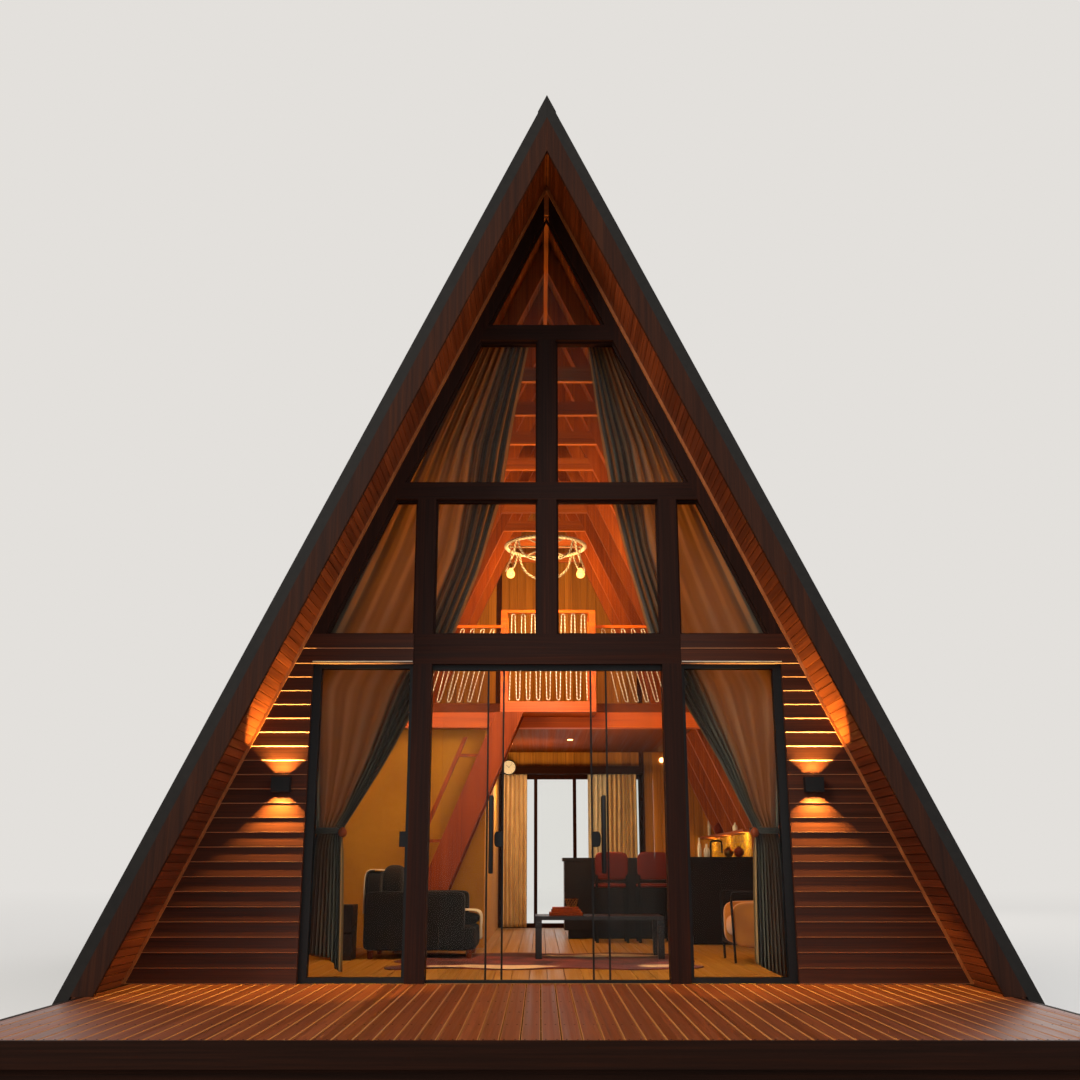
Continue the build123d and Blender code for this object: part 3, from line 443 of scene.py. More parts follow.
cotton_rope = twisted_rope("twisted_cotton_rope", ("#7c6844", "#ac966c", "#cdbb92"))
white_rope = twisted_rope("white_cotton_rope", ("#b3a58a", "#ddd2bc", "#f3ecdd"))
print("materials:", len(bpy.data.materials))

# %% [markdown]
# Next come the mesh helpers. Nearly every hard piece here is a closed tube: a ring of points
# carried from one station to the next, with a face over each end. A board is a tube with two
# stations, a turned bulb is one with eleven, and a whole deck is 59 tubes in one mesh.

# %% Arrays to meshes
def new_mesh(name, points, faces, uv=None, closed=True):
    """A mesh from arrays, with a closed one's faces turned outwards. UV has one row a vertex."""
    mesh = bpy.data.meshes.new(name)
    mesh.from_pydata(np.reshape(points, (-1, 3)).tolist(), [], faces)
    if closed:
        shell = bmesh.new()
        shell.from_mesh(mesh)
        bmesh.ops.recalc_face_normals(shell, faces=shell.faces)
        shell.to_mesh(mesh)
        shell.free()
    if uv is not None:
        corners = np.empty(len(mesh.loops), np.int32)
        mesh.loops.foreach_get("vertex_index", corners)
        layer = mesh.uv_layers.new(name="cloth")
        layer.data.foreach_set("uv", np.reshape(uv, (-1, 2))[corners].astype(np.float32).ravel())
    return mesh


def link_piece(name, mesh, material, body="building", smooth=0):
    """Links a mesh, with its material, to ride on a body. Faces within smooth degrees shade as one."""
    piece = bpy.data.objects.new(name, mesh)
    bpy.context.collection.objects.link(piece)
    mesh.materials.append(material)
    if smooth:
        mesh.polygons.foreach_set("use_smooth", np.ones(len(mesh.polygons), bool))
        mesh.set_sharp_from_angle(angle=np.radians(smooth))
    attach(piece, body)
    return piece


def tubes(name, rings, material, body="building", smooth=0, uv=None):
    """Closed tubes: rings[i, j, k] is point k of ring j of tube i, joined by quads and capped."""
    rings = np.asarray(rings, float)
    count, stations, ring = rings.shape[:3]
    start = (np.arange(count) * stations * ring)[:, None, None]
    station = (np.arange(stations - 1) * ring)[None, :, None]
    near = start + station + np.arange(ring)
    beside = start + station + (np.arange(ring) + 1) % ring
    quads = np.stack([near, beside, beside + ring, near + ring], -1).reshape(-1, 4)
    first = start[:, 0] + np.arange(ring)[::-1]
    last = start[:, 0] + (stations - 1) * ring + np.arange(ring)
    mesh = new_mesh(name, rings, quads.tolist() + first.tolist() + last.tolist(), uv)
    return link_piece(name, mesh, material, body, smooth)


def closed_loop(name, rings, material, uv=None):
    """A tube whose last ring meets its first: quads wrap round both ways, and nothing is capped."""
    stations, ring = rings.shape[:2]
    i, j = np.meshgrid(np.arange(stations), np.arange(ring), indexing="ij")
    i2, j2 = (i + 1) % stations, (j + 1) % ring
    quads = np.stack([i * ring + j, i2 * ring + j, i2 * ring + j2, i * ring + j2], -1).reshape(-1, 4)
    return link_piece(name, new_mesh(name, rings, quads.tolist(), uv), material, smooth=60)


def sheet_mesh(name, points, uv, material, thickness):
    """An open grid of points made into cloth by Solidify, and its area: the sum of its cells' areas."""
    rows, columns = points.shape[:2]
    i, j = np.meshgrid(np.arange(rows - 1), np.arange(columns - 1), indexing="ij")
    a = i * columns + j
    quads = np.stack([a, a + 1, a + columns + 1, a + columns], -1).reshape(-1, 4)
    piece = link_piece(name, new_mesh(name, points, quads.tolist(), uv, closed=False), material,
                       smooth=180)
    solid = piece.modifiers.new("thickness", "SOLIDIFY")
    solid.thickness = thickness
    solid.offset = 0
    cells = np.cross(points[1:, :-1] - points[:-1, :-1], points[:-1, 1:] - points[:-1, :-1])
    return piece, float(np.linalg.norm(cells, axis=-1).sum())


print("mesh helpers ready")

# %% [markdown]
# Three more helpers give the rings: one for blocks with eased edges, one for a round bar
# along a path, and one for a shape turned on a lathe.

# %% Blocks, bars and turned shapes
def blocks(name, low, high, material, slot, body="building", ease=0.0):
    """Blocks between corners low[i] and high[i]. Ease is how far their edges are cut back."""
    low, high = np.atleast_2d(low), np.atleast_2d(high)
    # Each row is one point round the block: whether x and y are the high ones, and which way each is cut.
    turn = np.array([(0, 0, 1, 0), (0, 0, 0, 1), (1, 0, 0, 1), (1, 0, -1, 0),
                     (1, 1, -1, 0), (1, 1, 0, -1), (0, 1, 0, -1), (0, 1, 1, 0)])
    x = np.where(turn[:, 0], high[:, None, 0], low[:, None, 0]) + turn[:, 2] * ease
    y = np.where(turn[:, 1], high[:, None, 1], low[:, None, 1]) + turn[:, 3] * ease
    lift = np.array([0, ease, -ease, 0]) if ease else np.array([0, 0])
    pull = np.array([ease, 0, 0, ease]) if ease else np.array([0, 0])
    centre = (low + high)[:, None, None, :2] / 2
    half = np.maximum((high - low)[:, None, None, :2] / 2, 1e-6)
    flat = np.stack([x, y], -1)[:, None]
    flat = centre + (flat - centre) * (1 - pull[None, :, None, None] / half)
    ends = [low[:, 2], low[:, 2], high[:, 2], high[:, 2]] if ease else [low[:, 2], high[:, 2]]
    z = np.stack(ends, 1) + lift
    rings = np.concatenate([flat, np.broadcast_to(z[:, :, None, None], (*flat.shape[:3], 1))], -1)
    keep = slice(None) if ease else [0, 2, 4, 6]
    return tubes(name, rings[:, :, keep], material, body)


def run_along(line):
    """Length of a line of points from its start to each point."""
    return np.concatenate([[0], np.cumsum(np.linalg.norm(np.diff(line, axis=0), axis=1))])


def along_path(path, radius, ring=10, twist=0.0, depth=0.0):
    """Rings round a path: centre + r (cos a * n + sin a * b). Depth is how far three strands, which
    turn round the path twist times a metre, swell the radius."""
    path = np.asarray(path, float)
    tangent = np.gradient(path, axis=0)
    tangent /= np.linalg.norm(tangent, axis=1, keepdims=True)
    upright = np.abs(tangent[:, 2]).mean() > 0.75
    level_across = np.abs(tangent[:, 1]).mean() < 0.3
    normal = np.cross(tangent, (0.0, 1.0, 0.0) if upright or level_across else (0.0, 0.0, 1.0))
    normal /= np.linalg.norm(normal, axis=1, keepdims=True)
    binormal = np.cross(tangent, normal)
    angle = np.linspace(0, 2 * np.pi, ring, endpoint=False)
    wave = 1 + depth * np.cos(3 * angle[None] - 2 * np.pi * run_along(path)[:, None] * twist)
    reach = np.broadcast_to(radius, len(path))[:, None] * wave
    return (path[:, None] + reach[..., None] * (np.cos(angle)[:, None] * normal[:, None]
                                                + np.sin(angle)[:, None] * binormal[:, None]))


def turned(profile, centre=(0, 0, 0), ring=24):
    """Rings of a turned shape: each (radius, height) of the profile swept round the vertical."""
    profile = np.asarray(profile, float)
    angle = np.linspace(0, 2 * np.pi, ring, endpoint=False)
    flat = profile[:, 0, None, None] * np.stack([np.cos(angle), np.sin(angle)], -1)
    rise = np.broadcast_to(profile[:, 1, None, None], (*flat.shape[:2], 1))
    return np.concatenate([flat, rise], -1) + np.asarray(centre, float)


print("ring helpers ready")

# %% [markdown]
# **Siding.** Lapped boards are thick at the bottom edge and thin at the top, so each one
# throws a shadow line on the one below. Each board is a five-sided profile in side view,
# carried from the window's edge to the roof's slope, where its end is cut on the slant. The
# profile is (how far it stands out, share of the board's width), and its UV gives each
# board's number and share to the stain.

# %% Lapped siding on both gables
lap_profile = np.array([(-0.002, 0.0), (0.015, 0.0), (0.019, 0.05), (0.009, 1.0), (-0.002, 1.0)])


def lapped_rings(h_low, h_high, count, ends, face, outward):
    """Rings of boards from h_low to h_high. Ends gives the two x of a board at any height."""
    rows = np.linspace(h_low, h_high, count + 1)
    h = rows[:-1, None] + lap_profile[:, 1] * np.diff(rows)[:, None]
    v = face + outward * np.broadcast_to(lap_profile[:, 0], h.shape)
    return np.stack([place(end(h), v, h) for end in ends], axis=1)


def numbered(count, shares):
    """A UV for boards: each one's number, and the share of its width at each point of its profile."""
    number, share = np.broadcast_arrays(np.arange(count)[:, None, None] + 0.5, shares)
    return np.repeat(np.stack([number, share], -1).reshape(count, 1, len(shares), 2), 2, axis=1)


def upright_end(x):
    """A board's end at a window or post: x at any height."""
    return lambda h: x + 0 * h


def sloped_end(side):
    """A board's end on the roof's slope: x at any height."""
    return lambda h: side * roof_x(h)


window_edge, post_edge, header_low, header_top = 1.850, 1.060, 2.373, 2.615
back_top, back_left, back_right = 2.140, -0.650, 1.450
front_rings = []
for side, hand in hands:
    for low, high, count, edge in ((0, header_low, 22, window_edge), (header_low, header_top, 2, post_edge)):
        front_rings.append(lapped_rings(low, high, count, (upright_end(side * edge), sloped_end(side)), 0,
                                        -1))
back_rings = [
    lapped_rings(0, back_top, 20, (sloped_end(-1), upright_end(back_left)), house_length, 1),
    lapped_rings(0, back_top, 20, (upright_end(back_right), sloped_end(1)), house_length, 1),
    lapped_rings(back_top, 6.60, 41, (sloped_end(-1), sloped_end(1)), house_length, 1),
]
for name, rings in (("front_siding", np.concatenate(front_rings)),
                    ("back_siding", np.concatenate(back_rings))):
    tubes(name, rings, siding_boards, uv=numbered(len(rings), lap_profile[:, 1]))
    print(name, "boards:", len(rings))
# A bright drip strip of folded aluminium lies over the head of each side window.
blocks("window_drips", [place(-1.850, -0.030, 2.386), place(1.062, -0.030, 2.386)],
       [place(-1.062, 0.002, 2.394), place(1.850, 0.002, 2.394)], drip_aluminium, "black_metal", ease=0.001)

# %% [markdown]
# **Lining.** Pine boards about 65 mm wide run front to back over the soffit and on through
# the house, with a small bevel at each joint that reads as a dark line. Where they pass a
# gable wall the outdoor stain gives way to oil, so each run of boards is made in three
# lengths that meet inside the walls.

# %% Soffit and ceiling boards
board_width, board_thickness, bevel = 0.065, 0.010, 0.004
slope_length = (apex + floor_top) / np.cos(lean)
low_edges = np.arange(int(slope_length / board_width)) * board_width
lining_front, lining_back = -overhang + 0.041, house_length + overhang - 0.041
in_wall = wall_thickness / 2
run = low_edges[:, None] + np.array([0.0005, bevel, board_width - bevel, board_width - 0.0005])
inset = np.array([-0.002, board_thickness, board_thickness, -0.002])
h = -floor_top + run * np.cos(lean)
for side, hand in hands:
    for name, finish, ends in (("soffit", soffit_pine, (lining_front, in_wall)),
                               ("ceiling", lining_pine, (in_wall, house_length - in_wall)),
                               ("back_soffit", soffit_pine, (house_length - in_wall, lining_back))):
        rings = np.stack([place(side * (roof_x(h) - inset / np.cos(lean)), v, h) for v in ends], axis=1)
        tubes(f"{name}_boards_{hand}", rings, finish)
print("lining boards a side:", len(low_edges))

# %% [markdown]
# **Deck and floor.** The deck's boards lie front to back with open gaps, screwed down at
# each joist. Indoors, planks of lacquered oak lie tight together, with their end joints
# staggered from row to row. The crown is (share of the board's width, height), so one
# profile makes every board of the deck.

# %% Deck boards and screws
deck_low, deck_high, deck_gap = -2.899, -0.001, 0.007
edges = np.linspace(-3.07, 3.07, 60)
crown = np.array([(0, -0.035), (1, -0.035), (1, -0.003), (0.97, 0.0), (0.03, 0.0), (0, -0.003)])
x = edges[:-1, None] + deck_gap / 2 + crown[:, 0] * (np.diff(edges)[:, None] - deck_gap)
deck = tubes("deck_boards", np.stack([place(x, v, crown[:, 1]) for v in (deck_low, deck_high)], axis=1),
             deck_stain)
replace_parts(deck, "deck_platform")

joist_lines = np.linspace(-2.878, -0.023, 6)
screw_radius, screw_spread = 0.0045, 0.028
board_middles = (edges[:-1] + edges[1:]) / 2
screw_x = (board_middles[:, None] + np.array([-screw_spread, screw_spread])).ravel()
grid_x, grid_v = [a.ravel()[:, None] for a in np.meshgrid(screw_x, joist_lines)]
angle = np.linspace(0, 2 * np.pi, 8, endpoint=False)
heads = np.stack([place(grid_x + screw_radius * np.cos(angle), grid_v + screw_radius * np.sin(angle), h)
                  for h in (-0.002, 0.0012)], axis=1)
tubes("deck_screws", heads, black_aluminium)
print("deck boards:", len(x), "screws:", len(heads))

# %% Floor planks
plank_width, plank_length, plank_joint = 0.14, 2.1, 0.0008
rows = np.arange(-22, 22)
planks_low, planks_high = [], []
random = np.random.default_rng(7)
starts = random.uniform(0, plank_length, len(rows))
for step in range(6):
    low_v = np.clip(starts + (step - 1) * plank_length, 0, house_length)
    high_v = np.clip(starts + step * plank_length - plank_joint, 0, house_length)
    keep = high_v - low_v > 0.05
    planks_low.append(place(rows[keep] * plank_width + plank_joint, low_v[keep], -0.030))
    planks_high.append(place(rows[keep] * plank_width + plank_width - plank_joint, high_v[keep], 0))
planks = blocks("floor_planks", np.concatenate(planks_low), np.concatenate(planks_high), floor_oak,
                "floor_wood",
                ease=0.0012)
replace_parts(planks, "floor_boards")
print("floor planks:", sum(map(len, planks_low)))

# %% [markdown]
# **Roof covering.** Coated steel sheets run from the ridge to the ground, joined by folded
# seams that stand up about every 45 cm. A seam is a thin upright strip with a rolled top. Its
# profile is (along the house, out of the roof), carried from the roof's foot to the ridge.

# %% Standing seams
seam_profile = np.array([(-0.004, -0.001), (0.004, -0.001), (0.004, 0.018), (0.008, 0.022), (0.007, 0.028),
                         (-0.007, 0.028), (-0.008, 0.022), (-0.004, 0.018)])
roof_depth = 0.105
seam_v = np.linspace(-overhang + 0.42, house_length + overhang - 0.42, 22)
seam_h = np.array([-floor_top + 0.075, roof_h(0.0, -roof_depth) - 0.13])
seam_x = roof_x(seam_h[:, None]) + (roof_depth + seam_profile[:, 1]) / np.cos(lean)
seam_rings = [np.stack([place(side * seam_x[j], seam_v[:, None] + seam_profile[:, 0], seam_h[j])
                        for j in (0, 1)], axis=1) for side, hand in hands]
tubes("roof_seams", np.concatenate(seam_rings), roof_steel)
print("roof seams:", 2 * len(seam_v))

# %% [markdown]
# **Glazing beads.** Each pane is held by a thin bead on the outside. A bead is a square bar
# along each edge of the pane, so the pane's corners are all that it needs. A pane reaches
# from an upright edge to a post or to the sloped frame. A strip of the same kind covers the
# corner between soffit and wall.

# %% Beads round the gable's panes
def edge_bars(corners, v_low, v_high, width):
    """Rings of bars inside a polygon of (x, h) corners: each edge, and the edge moved in by width."""
    corners = np.asarray(corners, float)
    following = np.roll(corners, -1, axis=0)
    run = following - corners
    run /= np.linalg.norm(run, axis=1, keepdims=True)
    turn = np.sum(corners[:, 0] * following[:, 1] - following[:, 0] * corners[:, 1])
    inward = np.stack([-run[:, 1], run[:, 0]], -1) * np.sign(turn)
    rings = []
    for end, away in ((corners, 1), (following, -1)):
        inner = end + width * inward + away * width * run
        flat = np.stack([end, inner, inner, end], axis=1)
        rings.append(place(flat[..., 0], np.array([v_low, v_low, v_high, v_high]), flat[..., 1]))
    return np.stack(rings, axis=1)


def framed_x(h):
    """Half width at height h inside the sloped frame of the gable."""
    return roof_x(h, 0.130)


centre_edge, post_inner = 0.0775, 0.910
middle_low, middle_high, tie_low, tie_high = 3.741, 3.888, 5.170, 5.311
panes = []
for side, hand in hands:
    for inner, outer, low, high in ((centre_edge, lambda h: post_inner, header_top, middle_low),
                                    (post_edge, framed_x, header_top, middle_low),
                                    (centre_edge, framed_x, middle_high, tie_low)):
        panes.append([(side * inner, low), (side * outer(low), low), (side * outer(high), high),
                      (side * inner, high)])
panes.append([(-framed_x(tie_high), tie_high), (framed_x(tie_high), tie_high), (0, roof_h(0, 0.130))])
beads = np.concatenate([edge_bars(pane, 0.048, 0.0697, 0.016) for pane in panes])
tubes("glazing_beads", beads, dark_level)

# The corner strip's pale oiled tone is a painted highlight along the corner.
trim_profile = np.array([(0.010, -0.024), (0.032, -0.024), (0.032, -0.002), (0.010, -0.002)])
trim_h = np.array([0.0, roof_h(0.03)])[:, None]
corner_trim = [place(side * (roof_x(trim_h) - trim_profile[:, 0] / np.cos(lean)), trim_profile[:, 1], trim_h)
               for side, hand in hands]
tubes("soffit_corner_trim", np.stack(corner_trim), highlit_trim_pine)
print("bead bars:", len(beads))

# %% [markdown]
# **Cladding inside the back gable.** Upright pine boards, whose tops are cut on the roof's
# slope. The top of each ring point is simply the roof's height at its own x.

# %% Upright boards on the back wall
board_section = np.array([(0.0, 0.002), (0.0, -0.008), (0.05, -0.014), (0.95, -0.014), (1.0, -0.008),
                          (1.0, 0.002)])


def upright_boards(first, last, h_low):
    """Rings of 120 mm boards on the inner face of the back wall, from h_low up to the slope."""
    edges = np.arange(first, last, 0.12)
    x = edges[:-1, None] + board_section[:, 0] * (np.diff(edges)[:, None] - 0.002)
    v = house_length - wall_thickness + board_section[:, 1]
    return np.stack([place(x, v, h_low), place(x, v, roof_h(x) - 0.012)], axis=1)


cladding = np.concatenate([upright_boards(-2.88, back_left + 0.001, 0.0),
                           upright_boards(back_right + 0.02, 2.9, 0.0),
                           upright_boards(back_left + 0.01, back_right, 2.255)])
tubes("back_cladding", cladding, wall_pine, uv=numbered(len(cladding), board_section[:, 0]))
print("cladding boards:", len(cladding))

# %% [markdown]
# **Ropes.** A rope is a fixed length of something limp, so each one starts as a smooth NURBS
# line through a few points, and a tube of twisted strands follows the line. The guard is
# laced with one rope a bay, up over the rail and down to the edge board. The lamp has rope
# loops that hang from its ring.

# %% Rope helpers
def smooth_line(points):
    """Points along a NURBS line of order 3 that has these control points."""
    curve = bpy.data.curves.new("route", "CURVE")
    curve.dimensions = "3D"
    curve.resolution_u = 8
    spline = curve.splines.new("NURBS")
    spline.points.add(len(points) - 1)
    spline.points.foreach_set("co", np.concatenate([points, np.ones((len(points), 1))], axis=1).ravel())
    spline.order_u = 3
    spline.use_endpoint_u = True
    holder = bpy.data.objects.new("route", curve)
    mesh = bpy.data.meshes.new_from_object(holder)
    line = np.empty(len(mesh.vertices) * 3)
    mesh.vertices.foreach_get("co", line)
    bpy.data.objects.remove(holder)
    bpy.data.curves.remove(curve)
    bpy.data.meshes.remove(mesh)
    return line.reshape(-1, 3)


def rope(name, route, diameter, finish):
    """A rope along a route, as a twisted tube: its strands turn once in six diameters."""
    line = smooth_line(np.asarray(route, float))
    run = run_along(line)
    rings = along_path(line, diameter / 2, ring=9, twist=1 / (6 * diameter), depth=0.10)
    uv = np.stack(np.meshgrid(np.linspace(0, np.pi * diameter, 9), run), -1)
    piece = tubes(name, rings[None], finish, smooth=60, uv=uv)
    print(name, round(run[-1], 2), "m")


# %% The guard's lacing
def lacing_route(start, step, v_place, low, high, shift, reach, turn):
    """Eight turns up and down between two heights: a pair of points at each turn and one near it."""
    level = np.array([0.0, reach, 1 - reach, 1.0, 1.0, 1 - reach, reach, 0.0])
    # A strand leans from a turn at the bottom to the next turn at the top, half a step on.
    up = turn / 2 + level[:4] * (step / 2 - turn)
    across = np.concatenate([up, step - up[::-1]])
    x = start + np.arange(8)[:, None] * step + across + shift * level
    return place(x, v_place, low + (high - low) * level).reshape(-1, 3)


lacing_diameter = 0.010
rope("lacing_centre", lacing_route(-0.400, 0.108, 3.278, 2.545, 3.478, 0.0, 0.06, 0.034), lacing_diameter,
     white_rope)
for (side, hand), first in zip(hands, (0.52, 0.58)):
    rope(f"lacing_{hand}", lacing_route(side * (first + 0.21), side * 0.112, 3.732, 2.585, 3.405,
                                        -side * 0.20, 0.07,
                                        side * 0.034), lacing_diameter, white_rope)

# %% [markdown]
# **Chandelier.** A hoop wound with rope hangs from a small hub by rope-covered arms, with
# slack loops of rope below it and three amber bulbs. The hoop is a ring of rings, and the
# winding is a ripple in its radius, since every turn of real rope would be a mesh of its own.

# %% Hoop, arms and hub
lamp_v, hoop_h, hoop_radius, hoop_tube = first_frame + 3 * frame_pitch, 4.040, 0.410, 0.018


def round_place(x, v, radius, angle, h):
    """Points on a circle about (x, v) at height h."""
    return place(x + radius * np.cos(angle), v + radius * np.sin(angle), h)


around = np.linspace(0, 2 * np.pi, 181)
tube_angle = np.linspace(0, 2 * np.pi, 12, endpoint=False)
# Rope wound round the hoop: 80 turns, each a soft swelling of the tube.
swell = hoop_tube * (1 + 0.14 * np.cos(80 * around[:-1, None] + tube_angle))
hoop_points = round_place(0, lamp_v, hoop_radius + swell * np.cos(tube_angle), around[:-1, None],
                          hoop_h + swell * np.sin(tube_angle))
hoop_uv = np.stack(np.meshgrid(tube_angle * hoop_tube, around[:-1] * hoop_radius), -1)
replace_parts(closed_loop("chandelier_hoop", hoop_points, cotton_rope, hoop_uv), "chandelier")

steps = np.linspace(0.025, hoop_radius - 0.012, 40)
arms = [along_path(round_place(0, lamp_v, steps, turn, hoop_h), 0.008, ring=8, twist=18, depth=0.12)
        for turn in np.arange(6) * np.pi / 3]
tubes("chandelier_arms", np.stack(arms), cotton_rope, smooth=60)
hub_profile = [(0.001, -0.030), (0.028, -0.030), (0.035, -0.022), (0.035, 0.022), (0.028, 0.030),
               (0.010, 0.034),
               (0.008, 0.050), (0.008, 1.119), (0.030, 1.123), (0.030, 1.130), (0.001, 1.130)]
tubes("chandelier_hub", turned(hub_profile, place(0, lamp_v, hoop_h))[None], black_aluminium,
      smooth=40)
print("arms:", len(arms))

# %% Rope loops and bulbs
loop_turn = np.array([-0.74, -0.70, -0.60, -0.34, 0.0, 0.34, 0.60, 0.70, 0.74])
loop_drop = np.array([0.020, 0.085, 0.165, 0.235, 0.262, 0.235, 0.165, 0.085, 0.020])
for index in range(4):
    route = round_place(0, lamp_v, hoop_radius, (index - 1) * np.pi / 2 + loop_turn, hoop_h - loop_drop)
    rope(f"lamp_rope_{index + 1}", route, 0.022, cotton_rope)

bulb_profile = [(0.001, -0.046), (0.014, -0.045), (0.028, -0.038), (0.038, -0.024), (0.042, -0.006),
                (0.040, 0.010),
                (0.033, 0.026), (0.023, 0.042), (0.016, 0.054), (0.014, 0.062), (0.001, 0.063)]
holder_profile = [(0.001, 0.056), (0.017, 0.056), (0.019, 0.060), (0.019, 0.095), (0.014, 0.104),
                  (0.006, 0.108),
                  (0.001, 0.109)]
bulb_drop = 0.340
bulb_turn = np.pi / 2 + np.arange(3) * 2 * np.pi / 3
centres = round_place(0, lamp_v, hoop_radius, bulb_turn, hoop_h - bulb_drop)
bulbs = tubes("chandelier_bulbs_glass", np.stack([turned(bulb_profile, c) for c in centres]), bulb_glass,
              smooth=50)
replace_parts(bulbs, "chandelier_bulbs")
tubes("bulb_holders", np.stack([turned(holder_profile, c, 16) for c in centres]), brass,
      smooth=35)
cord_points = np.array([(0, 0, 0.105), (0, 0, 0.16), (0, 0, 0.27), (0, 0, bulb_drop - 0.014)])
for index, centre in enumerate(centres):
    rope(f"bulb_cord_{index + 1}", centre + cord_points, 0.010, cotton_rope)

# %% [markdown]
# **Drapes.** Each tall drape hangs from a rail on the roof's slope and is pulled aside by a
# tie at hand height. Its inner edge runs together into a band of folds on the way to the tie,
# and the rest hangs nearly flat, so the sheet is a surface of two numbers: how far across the
# cloth, and how high. The edges are smooth curves through a few points, the cloth spreads
# between them, and a sine of the first number pushes it in and out, deeper in the band.

# %% The drapes' edges
drape_top, tie_h, drape_foot = 5.235, 1.10, 0.018


def smooth_through(t, knots, values):
    """Values at t on straight pieces between knots, softened by averaging three nearby samples."""
    near = [np.interp(np.clip(t + d, knots[0], knots[-1]), knots, values) for d in (-0.03, 0.0, 0.03)]
    return sum(near) / 3


# Below the tie the edges go on as a tail. Heights rise in np.interp, so the lists are turned round.
knots = np.array([drape_top, 4.55, 3.82, 3.20, 2.67, 2.20, 1.65, tie_h, 0.90, 0.50, 0.02])[::-1]
inner_edges = {"left": [0.155, 0.28, 0.39, 0.56, 0.755, 0.985, 1.27, 1.60],
               "right": [0.36, 0.44, 0.55, 0.69, 0.83, 1.05, 1.36, 1.62]}
tail_sway = np.array([-0.020, -0.035, -0.045])
outer_edge = [roof_x(drape_top, 0.03), roof_x(4.55, 0.03), roof_x(3.82, 0.03), roof_x(3.2, 0.04),
              roof_x(2.67, 0.06),
              2.02, 1.90, 1.80, 1.83, 1.84, 1.85]
heights = np.concatenate([np.linspace(drape_top, 1.12, 125), np.linspace(tie_h, drape_foot, 43)])
outer = smooth_through(heights, knots, outer_edge[::-1])
across = np.linspace(0, 1, 260)
# Each hem is as uneven as cloth that has been tied back: heights over the floor, across the cloth.
hems = {"left": np.interp(across, [0, 0.15, 0.32, 0.7, 1], [0.06, 0.08, 0.165, 0.175, 0.20]),
        "right": np.interp(across, [0, 0.4, 0.75, 1], [0.13, 0.07, 0.03, 0.018])}
print("drape grid:", len(heights), "by", len(across))

# %% The drapes' folds
# Between the rail and the tie the inner edge is bunched into a band, and the rest hangs
# nearly flat. Above and below, the folds lie evenly over the whole width.
banded = np.interp(heights, [1.0, 1.25, 3.4, 4.3], [0.0, 1.0, 1.0, 0.25])[:, None]
bunched = np.interp(across, [0, 0.45, 1], [0, 0.24, 1])
spread = across + banded * (bunched - across)
flat_part = np.clip((across - 0.40) / 0.15, 0, 1) * banded
drift = 0.5 * np.sin(heights * 1.3)[:, None] * across
wave = np.sin(2 * np.pi * 10 * across + drift) + 0.35 * np.sin(2 * np.pi * 21 * across + 1.3)
slack = np.sin(2 * np.pi * 2.6 * across + 0.8 * np.sin(heights * 1.1)[:, None] + 0.5)
depth = 0.027 * (1 - 0.86 * flat_part)
tie_pinch = 1 - 0.40 * np.exp(-((heights - tie_h) / 0.12) ** 2)[:, None]
cloth_v = 0.240 + (depth * wave + 0.012 * slack * flat_part) * tie_pinch
fall = np.clip((tie_h - heights) / (tie_h - drape_foot), 0, 1)[:, None]
print("folds from", round(float(cloth_v.min()), 3), "to", round(float(cloth_v.max()), 3),
      "m behind the glass wall")

# %% Drapes, ties and knobs
knob_profile = [(0.001, -0.036), (0.014, -0.034), (0.027, -0.024), (0.034, -0.008), (0.034, 0.008),
                (0.027, 0.024),
                (0.016, 0.032), (0.010, 0.040), (0.001, 0.041)]
tie_section = np.array([(-0.003, -0.022), (0.003, -0.024), (0.004, 0.0), (0.003, 0.024), (-0.003, 0.022)])
band_angle = np.linspace(0, 2 * np.pi, 64, endpoint=False)
for side, hand in hands:
    edge = np.array(inner_edges[hand])
    inner = smooth_through(heights, knots, np.concatenate([edge, edge[-1] + tail_sway])[::-1])
    cloth_x = inner[:, None] + spread * (outer - inner)[:, None]
    cloth_h = np.where(fall > 0, tie_h - fall * (tie_h - hems[hand]), heights[:, None])
    cloth_uv = np.stack([np.broadcast_to(across * 2.7, cloth_h.shape), drape_top - cloth_h], -1)
    drape, area = sheet_mesh(f"drape_cloth_{hand}", place(side * cloth_x, cloth_v, cloth_h), cloth_uv,
                             drape_linen,
                             0.002)
    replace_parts(drape, f"drape_{hand}")
    tubes(f"tie_knob_{hand}", turned(knob_profile, place(side * (edge[-1] - 0.012), 0.185, 1.085))[None],
          stair_stain, smooth=50)
    band = place(side * (1.70 + 0.118 * np.cos(band_angle)), 0.238 + 0.052 * np.sin(band_angle), tie_h)
    outward = np.stack([side * np.cos(band_angle), np.sin(band_angle), 0 * band_angle], -1)
    rings = (band[:, None] + tie_section[:, 0, None] * outward[:, None]
             + tie_section[:, 1, None] * np.array([0, 0, 1.0]))
    tie = closed_loop(f"drape_tie_{hand}", rings, tie_linen)
    print(f"{hand} drape area", round(area, 2), "m2")

# %% [markdown]
# **Back curtains.** Two sand-coloured curtains and a sheer panel hang straight at the back
# window, in even pleats. A sine across the cloth makes the pleats, one in about 62 mm, and a
# slow sway down its height keeps them from looking ruled.

